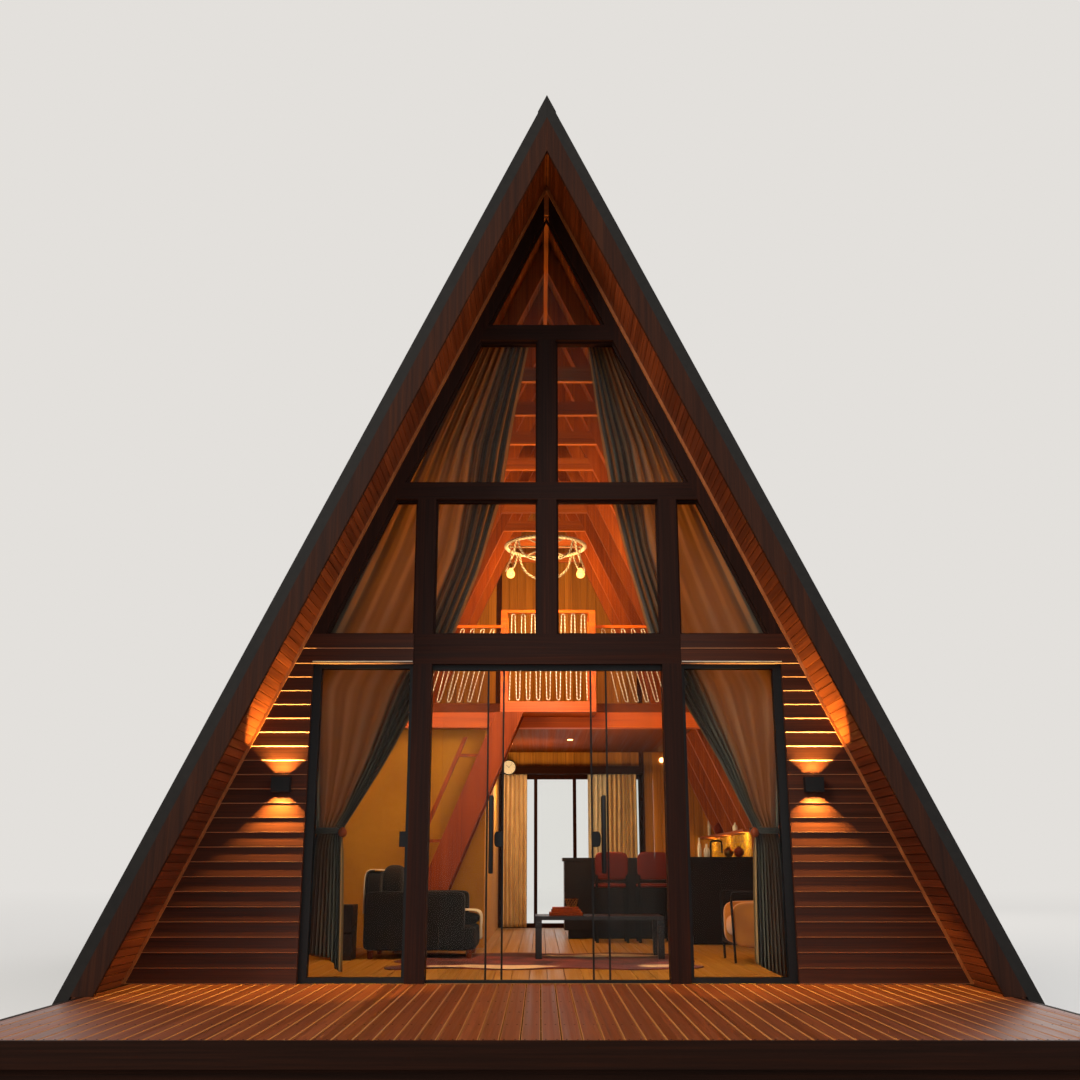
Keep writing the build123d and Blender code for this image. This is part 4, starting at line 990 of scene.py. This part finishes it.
# %% Back curtains
across, height = np.linspace(0, 1, 170), np.linspace(2.137, 0.017, 40)
for name, x_low, x_high, finish in (("back_curtain_1", -0.590, -0.245, curtain_linen),
                                    ("back_curtain_2", 0.926, 1.345, curtain_linen),
                                    ("sheer_panel", 0.640, 0.915, voile)):
    pleats = round((x_high - x_low) / 0.062)
    v = 8.175 + 0.026 * np.sin(2 * np.pi * pleats * across + 0.25 * np.sin(height[:, None] * 2.2))
    sway = 0.006 * np.sin(height[:, None] * 3 + across * 5) * (across * (1 - across) * 4)
    points = place(x_low + (x_high - x_low) * across + sway, v, height[:, None])
    uv = np.stack(np.meshgrid(across * 0.9, height), -1)
    curtain, area = sheet_mesh(name, points, uv, finish, 0.002)
    if name == "back_curtain_1":
        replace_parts(curtain, "back_curtains")
    print(name, "area", round(area, 2), "m2")

# %% [markdown]
# **Upholstery.** A cushion is a crowned form: square in plan with soft corners, and domed
# above and below. A superellipsoid gives exactly that, with one power for the plan's
# squareness and one for how flat the top is.

# %% Cushion helper
def cushion_rings(low, high, square, flat, ring=72, stations=26):
    """Superellipsoid between two corners: |x|^square + |y|^square = r^square, r and z on a power of flat."""
    angle = np.linspace(0, 2 * np.pi, ring, endpoint=False)
    rise = np.linspace(-np.pi / 2, np.pi / 2, stations)
    power = lambda wave, n: np.sign(wave) * np.abs(wave) ** (2 / n)
    reach = np.maximum(np.abs(np.cos(rise)) ** (2 / flat), 0.002)
    unit = np.stack([reach[:, None] * power(np.cos(angle), square),
                     reach[:, None] * power(np.sin(angle), square),
                     np.broadcast_to(power(np.sin(rise), flat)[:, None], (stations, ring))], -1)
    return (low + high) / 2 + unit * (high - low) / 2


def upholster(parts, node, material):
    """Padded forms, each (name, low corner, high corner, square, flat). The first replaces the node."""
    for index, (name, low, high, square, flat) in enumerate(parts):
        rings = cushion_rings(place(*low), place(*high), square, flat)
        # The cloth's threads run on two of the piece's own measures.
        uv = np.stack([rings[..., 0] + rings[..., 1] * 0.2, rings[..., 2] + rings[..., 1]], -1)
        piece = tubes(name, rings[None], material, smooth=50, uv=uv)
        if index == 0:
            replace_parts(piece, node)
    print(node, "forms:", len(parts))


# %% Sofa
x0, x1, v0, v1 = -1.720, -0.660, 2.400, 3.200
arm_end = x1 - 0.110
upholster([
    ("sofa_base", (x0 + 0.02, v0 + 0.01, 0.068), (x1, v1 - 0.01, 0.300), 14, 9),
    ("sofa_arm_near", (x0, v0, 0.075), (arm_end, v0 + 0.13, 0.605), 16, 14),
    ("sofa_arm_far", (x0, v1 - 0.13, 0.075), (arm_end, v1, 0.605), 16, 14),
    ("sofa_back", (x0, v0 + 0.02, 0.100), (x0 + 0.15, v1 - 0.02, 0.790), 10, 7),
], "sofa", sofa_weave)
upholster([
    ("sofa_seat", (x0 + 0.135, v0 + 0.132, 0.285), (x1 + 0.01, v1 - 0.132, 0.412), 9, 3.4),
    ("sofa_back_cushion", (x0 + 0.125, v0 + 0.132, 0.395), (x0 + 0.350, v1 - 0.132, 0.850), 5, 3.0),
], "sofa_cushions", sofa_weave)
leg_profile = [(0.001, 0.0), (0.024, 0.0), (0.024, 0.004), (0.030, 0.072), (0.001, 0.072)]
rug_top = 0.008
leg_places = [place(x, v, h) for x, h in ((x0 + 0.065, 0.0), (x1 - 0.065, rug_top))
              for v in (v0 + 0.065, v1 - 0.065)]
tubes("sofa_legs", np.stack([turned(leg_profile, p, 16) for p in leg_places]), stair_stain,
      smooth=40)

# %% [markdown]
# **Throws.** Two pale wool throws lie over the sofa's back and over the front of its seat.
# A throw follows one line in front view, over the edge and down, and is carried across it.
# Small sines lift its hems a little, as stiff wool does.

# %% Throws on the sofa
def throw(name, route, v_low, v_high):
    """A throw over an edge: its line in front view is carried from v_low to v_high, with soft ripples."""
    line = smooth_line(place(*np.asarray(route, float).T))
    run = run_along(line)
    width = v_high - v_low
    across = np.linspace(0, 1, 40)
    points = line[:, None] + np.zeros((1, 40, 3))
    points[..., 1] = front_face + v_low + width * across
    hang = np.minimum(run, run[-1] - run)[:, None] / run[-1]
    points[..., 0] += 0.006 * np.sin(across * 17 + 3 * run[:, None]) * np.clip(1 - 3 * hang, 0, 1)
    points[..., 1] += 0.012 * np.sin(run[:, None] * 9) * (across - 0.5)
    uv = np.stack(np.meshgrid(across * width, run), -1)
    piece, area = sheet_mesh(name, points, uv, throw_weave, 0.008)
    print(name, round(float(run[-1]), 2), "m")


over_back = [(x0 - 0.012, 0, 0.40), (x0 - 0.014, 0, 0.60), (x0 - 0.012, 0, 0.76), (x0 + 0.02, 0, 0.805),
             (x0 + 0.10, 0, 0.806), (x0 + 0.15, 0, 0.80)]
over_seat = [(x1 - 0.20, 0, 0.432), (x1 - 0.10, 0, 0.432), (x1 - 0.01, 0, 0.428), (x1 + 0.032, 0, 0.400),
             (x1 + 0.036, 0, 0.33), (x1 + 0.030, 0, 0.25), (x1 + 0.034, 0, 0.17)]
throw("sofa_throw", over_back, v0 + 0.05, v0 + 0.50)
throw("seat_throw", over_seat, v0 + 0.145, v0 + 0.56)

# %% [markdown]
# **Armchair and stools.** The armchair is four padded forms held in two bent steel tubes,
# joined by three bars. The bar stools have a moulded seat and back on square legs.

# %% Armchair
x0, x1, v0, v1 = 1.640, 2.240, 1.760, 2.400
upholster([
    ("armchair_seat", (x0 + 0.03, v0 + 0.08, 0.200), (x1 - 0.06, v1 - 0.08, 0.425), 8, 3.2),
    ("armchair_side_near", (x0 + 0.025, v0 + 0.025, 0.140), (x1 - 0.02, v0 + 0.110, 0.525), 9, 5.0),
    ("armchair_side_far", (x0 + 0.025, v1 - 0.110, 0.140), (x1 - 0.02, v1 - 0.025, 0.525), 9, 5.0),
    ("armchair_back", (x1 - 0.15, v0 + 0.06, 0.160), (x1 - 0.015, v1 - 0.06, 0.635), 7, 4.0),
], "armchair", chair_weave)
# One bent steel tube a side: up from the floor, over the arm and down again, with bars between.
bend = [(x0 + 0.03, 0.012), (x0 + 0.02, 0.30), (x0 + 0.012, 0.54), (x0 + 0.012, 0.605), (x0 + 0.07, 0.612),
        (1.94, 0.600), (x1 - 0.07, 0.612), (x1 - 0.012, 0.605), (x1 - 0.012, 0.54), (x1 - 0.02, 0.30),
        (x1 - 0.03, 0.012)]
frames = [along_path(smooth_line(np.array([place(x, v, h) for x, h in bend])), 0.011, ring=12)
          for v in (v0 + 0.012, v1 - 0.012)]
tubes("armchair_frame", np.stack(frames), black_aluminium, smooth=50)
cross_bars = [along_path(place(x, np.linspace(v0 + 0.005, v1 - 0.005, 12), h), 0.009)
              for x, h in ((x0 + 0.021, 0.17), (x1 - 0.021, 0.17), (x1 - 0.006, 0.50))]
tubes("armchair_bars", np.stack(cross_bars), black_aluminium, smooth=50)
print("armchair bars:", len(cross_bars))

# %% Bar stools
stool_v, stool_half, leg_side = 5.040, 0.19, 0.032
bars, shell_parts = [], []
for x in (0.770, 1.260):
    for low_v, low_h, high_v, high_h, square, flat in ((-0.19, 0.600, 0.19, 0.652, 6, 4),
                                                       (-0.19, 0.690, -0.145, 1.000, 5, 5)):
        shell_parts.append(cushion_rings(place(x - stool_half, stool_v + low_v, low_h),
                                         place(x + stool_half, stool_v + high_v, high_h), square, flat))
    for dx in (-stool_half, stool_half - leg_side):
        for dv, top in ((-stool_half, 0.75), (stool_half - leg_side, 0.61)):
            bars.append((place(x + dx, stool_v + dv, 0.0),
                         place(x + dx + leg_side, stool_v + dv + leg_side, top)))
    for dv in (-0.185, 0.163):
        bars.append((place(x - 0.17, stool_v + dv, 0.28), place(x + 0.17, stool_v + dv + 0.022, 0.302)))
stools = tubes("bar_stool_shells", np.stack(shell_parts), terracotta, smooth=50)
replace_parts(stools, "bar_stools")
blocks("bar_stool_legs", *zip(*bars), black_aluminium, "black_metal", ease=0.004)
print("stool legs and bars:", len(bars))

# %% [markdown]
# **Joinery.** Cupboard doors stand off the carcass with thin shadow gaps, and a stone
# worktop oversails them. All are blocks with eased edges, which catch a line of light.

# %% Cupboard doors and worktops
doors, tops, worktop = [], [], 0.941
for x_low, x_high, v_low, v_high, count in ((0.240, 1.540, 5.600, 6.150, 3), (1.600, 2.350, 4.500, 5.450, 2)):
    edges = np.linspace(x_low + 0.004, x_high - 0.004, count + 1)
    for left, right in zip(edges[:-1], edges[1:]):
        doors.append((place(left + 0.002, v_low - 0.018, 0.106), place(right - 0.002, v_low + 0.001, 0.894)))
    tops.append((place(x_low - 0.021, v_low - 0.021, 0.905), place(x_high + 0.021, v_high + 0.021, worktop)))
blocks("cupboard_doors", *zip(*doors), laminate, "counter_dark", ease=0.002)
blocks("worktops", *zip(*tops), worktop_stone, "counter_dark", ease=0.003)
print("cupboard doors:", len(doors))

# %% [markdown]
# **The low wall by the counter.** Small glazed tiles cover it between the worktop and the
# ledge, and a lamp under the ledge lights them. Each tile is a block with its grout gap left
# open, so the joints catch a real shadow. Jars and pots on the worktop and the ledge are
# turned from two profiles, stretched to each one's size.

# %% Tiles
wall_face, wall_top = 2.370, 1.2517
tile, grout = 0.092, 0.004
tile_v = np.arange(4.642, house_length - wall_thickness - tile, tile)
tile_h = 0.943 + np.arange(3) * tile
grid_v, grid_h = [a.ravel() for a in np.meshgrid(tile_v, tile_h)]
blocks("kitchen_tiles", place(wall_face - 0.006, grid_v + grout / 2, grid_h + grout / 2),
       place(wall_face + 0.001, grid_v + tile - grout / 2, grid_h + tile - grout / 2), tile_glaze,
       "floor_wood",
       ease=0.001)
print("tiles:", len(grid_v))

# %% Jars, pots, kettle and tap
jar_profile = np.array([(0.001, 0.0), (0.036, 0.0), (0.042, 0.01), (0.044, 0.12), (0.036, 0.17),
                        (0.015, 0.20),
                        (0.013, 0.26), (0.016, 0.265), (0.001, 0.266)])
pot_profile = np.array([(0.001, 0.0), (0.030, 0.0), (0.052, 0.024), (0.060, 0.055), (0.052, 0.086),
                        (0.024, 0.106),
                        (0.022, 0.116), (0.026, 0.120), (0.001, 0.121)])
ledge_x = 2.330
vessels = [
    ("pale_jars", jar_profile, 20, ceramic, "clock_face",
     [(0.5, 0.8, 1.765, 4.640, worktop), (0.8, 0.55, 1.850, 4.660, worktop),
      (0.5, 1.15, ledge_x, 7.800, wall_top),
      (0.7, 0.4, ledge_x, 5.550, wall_top)]),
    ("round_pots", pot_profile, 28, terracotta, "stool_plastic",
     [(1, 1, 2.225, 4.700, worktop), (1.1, 1.25, ledge_x, 6.900, wall_top)]),
    ("brass_kettle", pot_profile, 28, brass, "clock_face", [(0.95, 0.95, 2.110, 4.720, worktop)]),
]
for name, profile, ring, finish, slot, places in vessels:
    rings = [turned(profile * (wide, tall), place(x, v, h), ring) for wide, tall, x, v, h in places]
    tubes(name, np.stack(rings), finish, smooth=40)
tap_route = place([1.910, 1.910, 1.910, 1.912, 1.975, 2.038, 2.040, 2.040], 4.760,
                  [0.938, 1.000, 1.080, 1.118, 1.124, 1.118, 1.080, 0.985])
tubes("kitchen_tap", along_path(smooth_line(tap_route), 0.011, ring=12)[None], black_aluminium,
      smooth=50)
print("kinds of vessel:", len(vessels))

# %% [markdown]
# **On the low table.** Three plain books and a wire basket. The basket is two sets of thin
# wires that lean opposite ways, so each wire is a path on a cone, and two hoops hold them.

# %% Books and wire basket
book_low = [(0.03, 2.42, 0.387), (0.05, 2.44, 0.417), (0.06, 2.45, 0.442)]
book_high = [(0.35, 2.64, 0.417), (0.33, 2.63, 0.442), (0.31, 2.62, 0.462)]
blocks("books", [place(*p) for p in book_low], [place(*p) for p in book_high], stair_stain, "dark_wood",
       ease=0.002)
basket_x, basket_v, basket_foot = 0.245, 2.53, 0.042
turn = np.arange(12)[:, None, None] * np.pi / 6 + np.array([-1, 1])[:, None] * np.linspace(0, 0.9, 9)
rise = np.linspace(0, 0.070, 9)
wires = round_place(basket_x, basket_v, basket_foot + 0.30 * rise, turn, 0.464 + rise).reshape(-1, 9, 3)
tubes("wire_basket", np.stack([along_path(line, 0.0022, ring=6) for line in wires]), brass,
      smooth=50)
hoops = [along_path(round_place(basket_x, basket_v, radius, around, h), 0.003, ring=6)
         for radius, h in ((basket_foot, 0.465), (0.063, 0.534))]
tubes("basket_hoops", np.stack(hoops), brass, smooth=50)
print("basket wires:", len(wires))

# %% [markdown]
# **Clock.** A round black case with a pale enamelled dial, twelve plain marks and two hands.
# The case and dial are turned shapes laid on their backs, and each mark is a flat bar that
# points away from the middle.

# %% Clock
clock_x, clock_v, clock_h = -0.510, 8.110, 2.230


def facing(profile, x, v, h, ring=48):
    """A turned shape laid so that its axis points to the front: height becomes -v."""
    rings = turned(profile, ring=ring)
    return place(x + rings[..., 0], v - rings[..., 2], h + rings[..., 1])[None]


rim_profile = [(0.001, 0.0), (0.108, 0.0), (0.110, 0.006), (0.110, 0.028), (0.106, 0.035), (0.099, 0.035),
               (0.096, 0.026), (0.001, 0.026)]
dial_profile = [(0.001, 0.024), (0.0955, 0.024), (0.0955, 0.0285), (0.001, 0.0285)]
case = tubes("clock_case", facing(rim_profile, clock_x, clock_v, clock_h), black_aluminium,
             smooth=35)
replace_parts(case, "wall_clock")
tubes("clock_dial", facing(dial_profile, clock_x, clock_v, clock_h), dial_enamel)
# Each bar is (turn from twelve o'clock, start, end, width): twelve hours, and then the two hands.
bars = [(hour, 0.074, 0.088, 0.003) for hour in np.arange(12) * np.pi / 6]
marks = []
for turn, start, end, width in bars + [(-0.9, -0.01, 0.055, 0.004), (0.75, -0.012, 0.078, 0.003)]:
    axis = np.array([np.sin(turn), np.cos(turn)])
    half = np.array([axis[1], -axis[0]]) * width / 2
    flat = np.array([axis * start - half, axis * start + half, axis * end + half, axis * end - half])
    marks.append(np.stack([place(clock_x + flat[:, 0], clock_v - d, clock_h + flat[:, 1]) for d in (0.028,
                                                                                                    0.0305)]))
tubes("clock_marks", np.stack(marks), black_aluminium)
print("clock marks:", len(marks))

# %% [markdown]
# **Rug.** The rug is a dyed cowhide with a few pale patches: red-brown hair, and four sides
# that swing in and out between its legs. Its outline is a rectangle whose sides follow sines.
# A patch is where the distance from its middle, counted in its own half widths and made
# ragged by noise, stays small.

# %% Cowhide material
hide, tree, surface = start_material("dyed_cowhide", roughness=0.9, sheen_weight=0.15)
hide_uv = add_node(tree, "TexCoord").outputs["UV"]
drift = add_node(tree, "TexNoise", {"Vector": hide_uv, "Scale": 2.2, "Detail": 5.0, "Distortion": 0.6})
split = add_node(tree, "SeparateXYZ", {0: hide_uv})
red_hair = add_node(tree, "ValToRGB", {0: drift}, [(0.36, "#320a05"), (0.52, "#5a1b0e"), (0.66, "#782b15")])
pale = None
for middle, half in (((0.96, 0.22), (0.62, 0.20)), ((1.92, 1.62), (0.52, 0.24)),
                     ((2.42, 0.30), (0.26, 0.16))):
    offsets = [add_node(tree, "Math", {0: split.outputs[axis], 1: -middle[axis]},
                        operation="ADD") for axis in (0, 1)]
    shares = [add_node(tree, "Math", {0: offsets[axis], 1: half[axis]}, operation="DIVIDE") for axis in (0,
                                                                                                         1)]
    near = add_node(tree, "CombineXYZ", {0: shares[0], 1: shares[1]})
    away = add_node(tree, "VectorMath", {0: near}, operation="LENGTH").outputs["Value"]
    ragged = add_node(tree, "Math", {0: drift, 1: 1.6, 2: away}, operation="MULTIPLY_ADD")
    patch = add_node(tree, "MapRange", {"Value": ragged, "From Min": 1.62, "From Max": 1.78, "To Min": 1.0,
                                        "To Max": 0.0})
    pale = add_node(tree, "Math", {0: patch, 1: pale}, operation="MAXIMUM") if pale else patch
hair_colour = add_node(tree, "Mix", {0: pale, 6: red_hair, 7: hex_colour("#d0ac80")}, data_type="RGBA")
# The hair lies in soft rows, drawn 8 mm apart so that they show.
hair = add_node(tree, "TexWave", {"Vector": hide_uv, "Scale": 0.314 / 0.008}, bands_direction="Y")
raised = add_node(tree, "Bump", {"Height": hair.outputs["Fac"], "Distance": 0.002})
feed(tree, surface, {"Base Color": hair_colour.outputs[2], "Normal": raised})
print("cowhide nodes:", len(tree.nodes))

# %% Rug
rug_width, rug_length = 2.73, 2.00
u, t = np.meshgrid(np.linspace(0, 1, 80), np.linspace(0, 1, 60))
ripple = 0.0015 * np.sin(u * 40) * np.sin(t * 31)
a, b = 2 * u - 1, 2 * t - 1
hide_x = -0.015 + 1.365 * a * (1 - 0.10 * np.sin(4.4 * b + 0.5) ** 2)
hide_v = 2.200 + 1.000 * b * (1 - 0.16 * np.sin(3.9 * a + 0.9) ** 2)
rug, area = sheet_mesh("rug_weave", place(hide_x, hide_v, 0.005 + ripple),
                       np.stack([u * rug_width, t * rug_length], -1), hide, 0.007)
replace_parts(rug, "rug")
print("rug area", round(area, 2), "m2")

# %% [markdown]
# **Door furniture.** Each sliding leaf has an upright pull on both faces, on two feet, and a
# rounded lock plate at its closing edge. A slim dark profile guards the free edge of each
# leaf. They ride on the leaf, so they move with it.

# %% Pulls and locks
leaf_faces, pull_x, lock_x, lock_h, pull_standoff = ((0.085, -1), (0.095, 1)), 0.433, 0.337, 1.033, 0.057
pull_profile = [(0.001, 0.780), (0.010, 0.780), (0.0145, 0.783), (0.016, 0.788), (0.016, 1.352),
                (0.0145, 1.357),
                (0.010, 1.360), (0.001, 1.360)]
foot_profile = [(0.001, 0.0), (0.014, 0.0), (0.014, 0.004), (0.008, 0.006), (0.008, 0.052), (0.001, 0.052)]
foot = turned(foot_profile, ring=16)
# The lock plate is straight at the leaf's edge and round away from it: a soft half ellipse.
turn = np.linspace(-np.pi / 2, np.pi / 2, 24)
outline = np.concatenate([np.stack([0.038 + 0.034 * np.cos(turn) ** 0.6,
                                    0.0575 * np.sign(np.sin(turn)) * np.abs(np.sin(turn)) ** 0.7], -1),
                          [(0.0, 0.0575), (0.0, -0.0575)]])
middle = outline.mean(axis=0)
plate = [(middle + (outline - middle) * size, depth)
         for size, depth in ((1.0, 0.0), (1.0, 0.009), (0.95, 0.012), (0.4, 0.0125))]
for side, hand in hands:
    bars, feet, plates = [], [], []
    for face, outward in leaf_faces:
        bars.append(turned(pull_profile, place(side * pull_x, face + outward * pull_standoff, 0.0)))
        feet += [place(side * pull_x + foot[..., 0], face + outward * foot[..., 2], h + foot[..., 1])
                 for h in (0.880, 1.260)]
        plates.append(np.stack([place(side * (lock_x + shape[:, 0]), face + outward * depth,
                                      lock_h + shape[:, 1])
                                for shape, depth in plate]))
    for name, rings, smooth in (("pull_bars", bars, 40), ("pull_feet", feet, 40),
                                ("lock_plates", plates, 30)):
        piece = tubes(f"{name}_{hand}", np.stack(rings), black_aluminium, f"{hand}_leaf",
                      smooth)
        if name == "pull_bars":
            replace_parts(piece, f"door_pull_{hand}")
print("door furniture on both leaves")

# %% Edge profiles of the leaves
profile_width, profile_low = 0.014, 0.022
profile_top = float(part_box("sliding_leaf_left")[1][2]) - floor_top - profile_low
for side, hand in hands:
    for name, body, edge, v in ((f"closing_edge_{hand}", f"{hand}_leaf", 0.3367, 0.090),
                                (f"fixed_edge_{hand}", "building", 0.4567, 0.065)):
        low_x, high_x = sorted((side * edge, side * (edge + profile_width)))
        blocks(name, place(low_x, v - profile_width / 2, profile_low),
               place(high_x, v + profile_width / 2, profile_top), black_aluminium, "black_metal", body,
               ease=0.0015)
print("edge profiles up to", round(profile_top, 3), "m")

# %% [markdown]
# **Wall lamps.** The CAD box has a round recess above and below, with a frosted lens in each.
# Light leaves it up and down and draws a patch on the boards. The lamp is as wide as its
# light, so three spots in a row give the patch its straight sides, and a falloff node makes
# them as even as a reflector does.

# %% Wall lamps
lens_profile = [(0.001, 0.0), (0.021, 0.0), (0.021, 0.005), (0.016, 0.009), (0.001, 0.010)]
lens = turned(lens_profile)
wall_lamp_x = 2.035
lenses = []
for side, hand in hands:
    for h, up in ((1.490 - 0.024, 1), (1.380 + 0.024, -1)):
        lenses.append(place(side * wall_lamp_x + lens[..., 0], -0.0475 + lens[..., 1], h + up * lens[..., 2]))
        for offset in (-0.045, 0.0, 0.045):
            spot = bpy.data.lights.new("wall_spot", "SPOT")
            spot.energy = 72
            spot.color = (1.0, 0.80, 0.30)
            spot.spot_size = np.radians(90)
            spot.spot_blend = 0.06
            spot.shadow_soft_size = 0.010
            spot.use_nodes = True
            falloff = add_node(spot.node_tree, "LightFalloff", {"Strength": 1.0, "Smooth": 0.015})
            feed(spot.node_tree, spot.node_tree.nodes["Emission"], {"Strength": falloff.outputs["Quadratic"]})
            holder = bpy.data.objects.new("wall_spot", spot)
            holder.location = place(side * wall_lamp_x + offset, -0.052, h + up * 0.030).tolist()
            holder.rotation_euler = (np.pi if up > 0 else 0, 0, 0)
            bpy.context.collection.objects.link(holder)
            holder.visible_camera = holder.visible_transmission = holder.visible_glossy = False
tubes("lamp_lenses", np.stack(lenses), lamp_lens, smooth=40)
print("lamp lenses:", len(lenses))

# %% Small lamps under the loft and on the back wall
downlight_profile = [(0.001, -0.006), (0.026, -0.006), (0.034, -0.010), (0.038, 0.0), (0.001, 0.002)]
downlights = [turned(downlight_profile, place(x, v, 2.465)) for x, v in ((-0.470, 7.050), (0.342, 6.500))]
tubes("loft_downlights", np.stack(downlights), lamp_lens, smooth=40)
back_lamp_profile = [(0.001, 0.0), (0.036, 0.0), (0.036, 0.030), (0.022, 0.046), (0.001, 0.048)]
tubes("back_wall_lamp", facing(back_lamp_profile, 1.735, 8.287, 2.350, 24), lamp_lens, smooth=40)
print("downlights:", len(downlights))

# %% [markdown]
# **Finishes on the CAD's own pieces.** Each node keeps its mesh and gets the material that
# its real counterpart has, with the grain along its length.

# %% Materials on the CAD nodes
finishes = [
    (concrete, "floor_slab"),
    (dark_long, "deck_joists deck_fascia"),
    (frame_pine_slope, "rafters kitchen_wall"),
    (frame_pine_long, "ridge_board"),
    (frame_pine_level, "collar_ties"),
    (lining_pine, "ceiling_lining"),
    (roof_steel, "roof_panels ridge_cap"),
    (barge_stain, "bargeboards"),
    (dark_upright, "front_posts gable_frame back_window_frame"),
    (dark_level, "front_beams curtain_rails"),
    (siding_stain, "front_walls front_spandrels back_walls back_gable"),
    (float_glass, "gable_glass side_glass fixed_leaves sliding_leaf_left sliding_leaf_right back_glass"),
    (black_aluminium, "side_window_frames door_tracks wall_lamps"),
    # The loft floor's darker boards are painted shade for its underside.
    (shaded_loft_pine, "loft_floor"),
    (edge_pine, "loft_beam stair_landing loft_guard"),
    (stair_stain, "stair_stringers stair_treads stair_rail"),
    (plaster, "partition_front partition_side"),
    (table_wood, "coffee_table side_cabinet"),
    (laminate, "kitchen_counters"),
]
for material, nodes in finishes:
    for node in nodes.split():
        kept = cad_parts[node].data.materials
        kept.clear()
        kept.append(material)
print("finished nodes:", sum(len(nodes.split()) for material, nodes in finishes), "of", len(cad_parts))

# %% [markdown]
# **Studio.** A pale floor, a soft pale sky and large soft lamps light the outside evenly.
# Far from the cabin the floor shows the sky's own colour, so no horizon is seen. Only rays
# that come straight from the camera, from a mirror or through glass see that colour, so it
# adds no light to the cabin.

# %% Floor and sky
def seen_directly(tree):
    """1 for rays from the camera, from a mirror or through glass, and 0 for the rays that light things."""
    path = add_node(tree, "LightPath").outputs
    first = add_node(tree, "Math", {0: path["Is Camera Ray"], 1: path["Is Glossy Ray"]}, operation="MAXIMUM")
    return add_node(tree, "Math", {0: first, 1: path["Is Transmission Ray"]}, operation="MAXIMUM")


backdrop = hex_colour("#e3e0dc")
corners = [(-90, -90, -0.001), (90, -90, -0.001), (90, 90, -0.001), (-90, 90, -0.001)]
ground_mesh = new_mesh("studio_floor", corners, [(0, 1, 2, 3)], closed=False)
ground = bpy.data.objects.new("studio_floor", ground_mesh)
bpy.context.collection.objects.link(ground)
paper, tree, surface = start_material("pale_studio_floor", roughness=0.9, base_color=hex_colour("#dcd9d4"))
away = add_node(tree, "VectorMath", {0: add_node(tree, "TexCoord").outputs["Object"]}, operation="LENGTH")
nearness = add_node(tree, "Math", {0: 1.0, 1: away.outputs["Value"]}, operation="DIVIDE")
fade = add_node(tree, "MapRange", {"Value": nearness, "From Min": 0.02, "From Max": 0.20, "To Min": 1.0,
                                   "To Max": 0.15})
share = add_node(tree, "Math", {0: fade, 1: seen_directly(tree)}, operation="MULTIPLY")
haze = add_node(tree, "Emission", {"Color": backdrop})
feed(tree, tree.nodes["Material Output"], {"Surface": add_node(tree, "MixShader",
                                                               {0: share, 1: surface, 2: haze})})
ground_mesh.materials.append(paper)

world = bpy.data.worlds.new("studio_sky")
bpy.context.scene.world = world
world.use_nodes = True
tree = world.node_tree
feed(tree, tree.nodes["Background"], {"Color": hex_colour("#e8ecf2"), "Strength": 0.55})
seen_sky = add_node(tree, "Background", {"Color": backdrop, "Strength": 1.0})
sky = add_node(tree, "MixShader", {0: seen_directly(tree), 1: tree.nodes["Background"], 2: seen_sky})
feed(tree, tree.nodes["World Output"], {"Surface": sky})
print("studio floor and sky ready")

# %% [markdown]
# **Lamps.** Three large soft lamps stand outside. Inside, a few warm ones stand for the lit
# rooms, because the roof would keep the studio's light out, and their colour goes from
# amber at the bulbs to pale yellow under the kitchen's ledge.

# %% Lamps
def soft_lamp(name, kind, location, energy, colour, size, aim=None):
    """A lamp in the studio, aimed at a point where it has a direction."""
    data = bpy.data.lights.new(name, kind)
    data.energy = energy
    data.color = colour
    if kind == "AREA":
        data.size = size
    else:
        data.shadow_soft_size = size
    holder = bpy.data.objects.new(name, data)
    holder.location = location
    if aim is not None:
        direction = np.asarray(aim, float) - np.asarray(location, float)
        yaw = np.arctan2(direction[1], direction[0]) - np.pi / 2
        tilt = np.arctan2(np.hypot(direction[0], direction[1]), -direction[2])
        holder.rotation_euler = (tilt, 0, yaw)
    bpy.context.collection.objects.link(holder)
    holder.visible_camera = False
    holder.visible_transmission = False
    holder.visible_glossy = kind == "AREA"


soft_lamp("key_lamp", "AREA", (-11, -14, 12), 2600, (1.0, 0.97, 0.93), 8, (0, 0, 2.5))
soft_lamp("fill_lamp", "AREA", (13, -9, 8), 1300, (0.95, 0.97, 1.0), 9, (0, 0, 2.5))
soft_lamp("back_lamp", "AREA", (6, 17, 11), 1500, (1.0, 0.97, 0.94), 9, (0, 2, 2.5))
warm, amber, pale_yellow = (1.0, 0.74, 0.44), (1.0, 0.62, 0.26), (1.0, 0.80, 0.42)
room_lamps = [
    ("room_lamp", 0.0, 1.75, 3.0, 170, warm, 0.25), ("stair_lamp", -1.2, 1.9, 2.2, 70, warm, 0.25),
    ("kitchen_lamp", 0.6, 4.9, 1.5, 75, warm, 0.2), ("passage_lamp", -0.3, 6.9, 1.8, 55, warm, 0.2),
    ("ledge_lamp", 2.31, 4.9, 1.19, 6, pale_yellow, 0.02),
    ("ledge_lamp", 2.31, 6.2, 1.19, 6, pale_yellow, 0.02),
    ("ledge_lamp", 2.31, 7.5, 1.19, 6, pale_yellow, 0.02), ("bulb_lamp", 0.0, 3.1, 3.9, 150, amber, 0.15),
    ("loft_lamp", 0.0, 6.4, 4.6, 120, amber, 0.25), ("table_lamp", 1.4, 1.2, 2.3, 65, warm, 0.25),
]
for name, x, v, h, energy, colour, size in room_lamps:
    soft_lamp(name, "POINT", place(x, v, h).tolist(), energy, colour, size)
print("room lamps:", len(room_lamps))
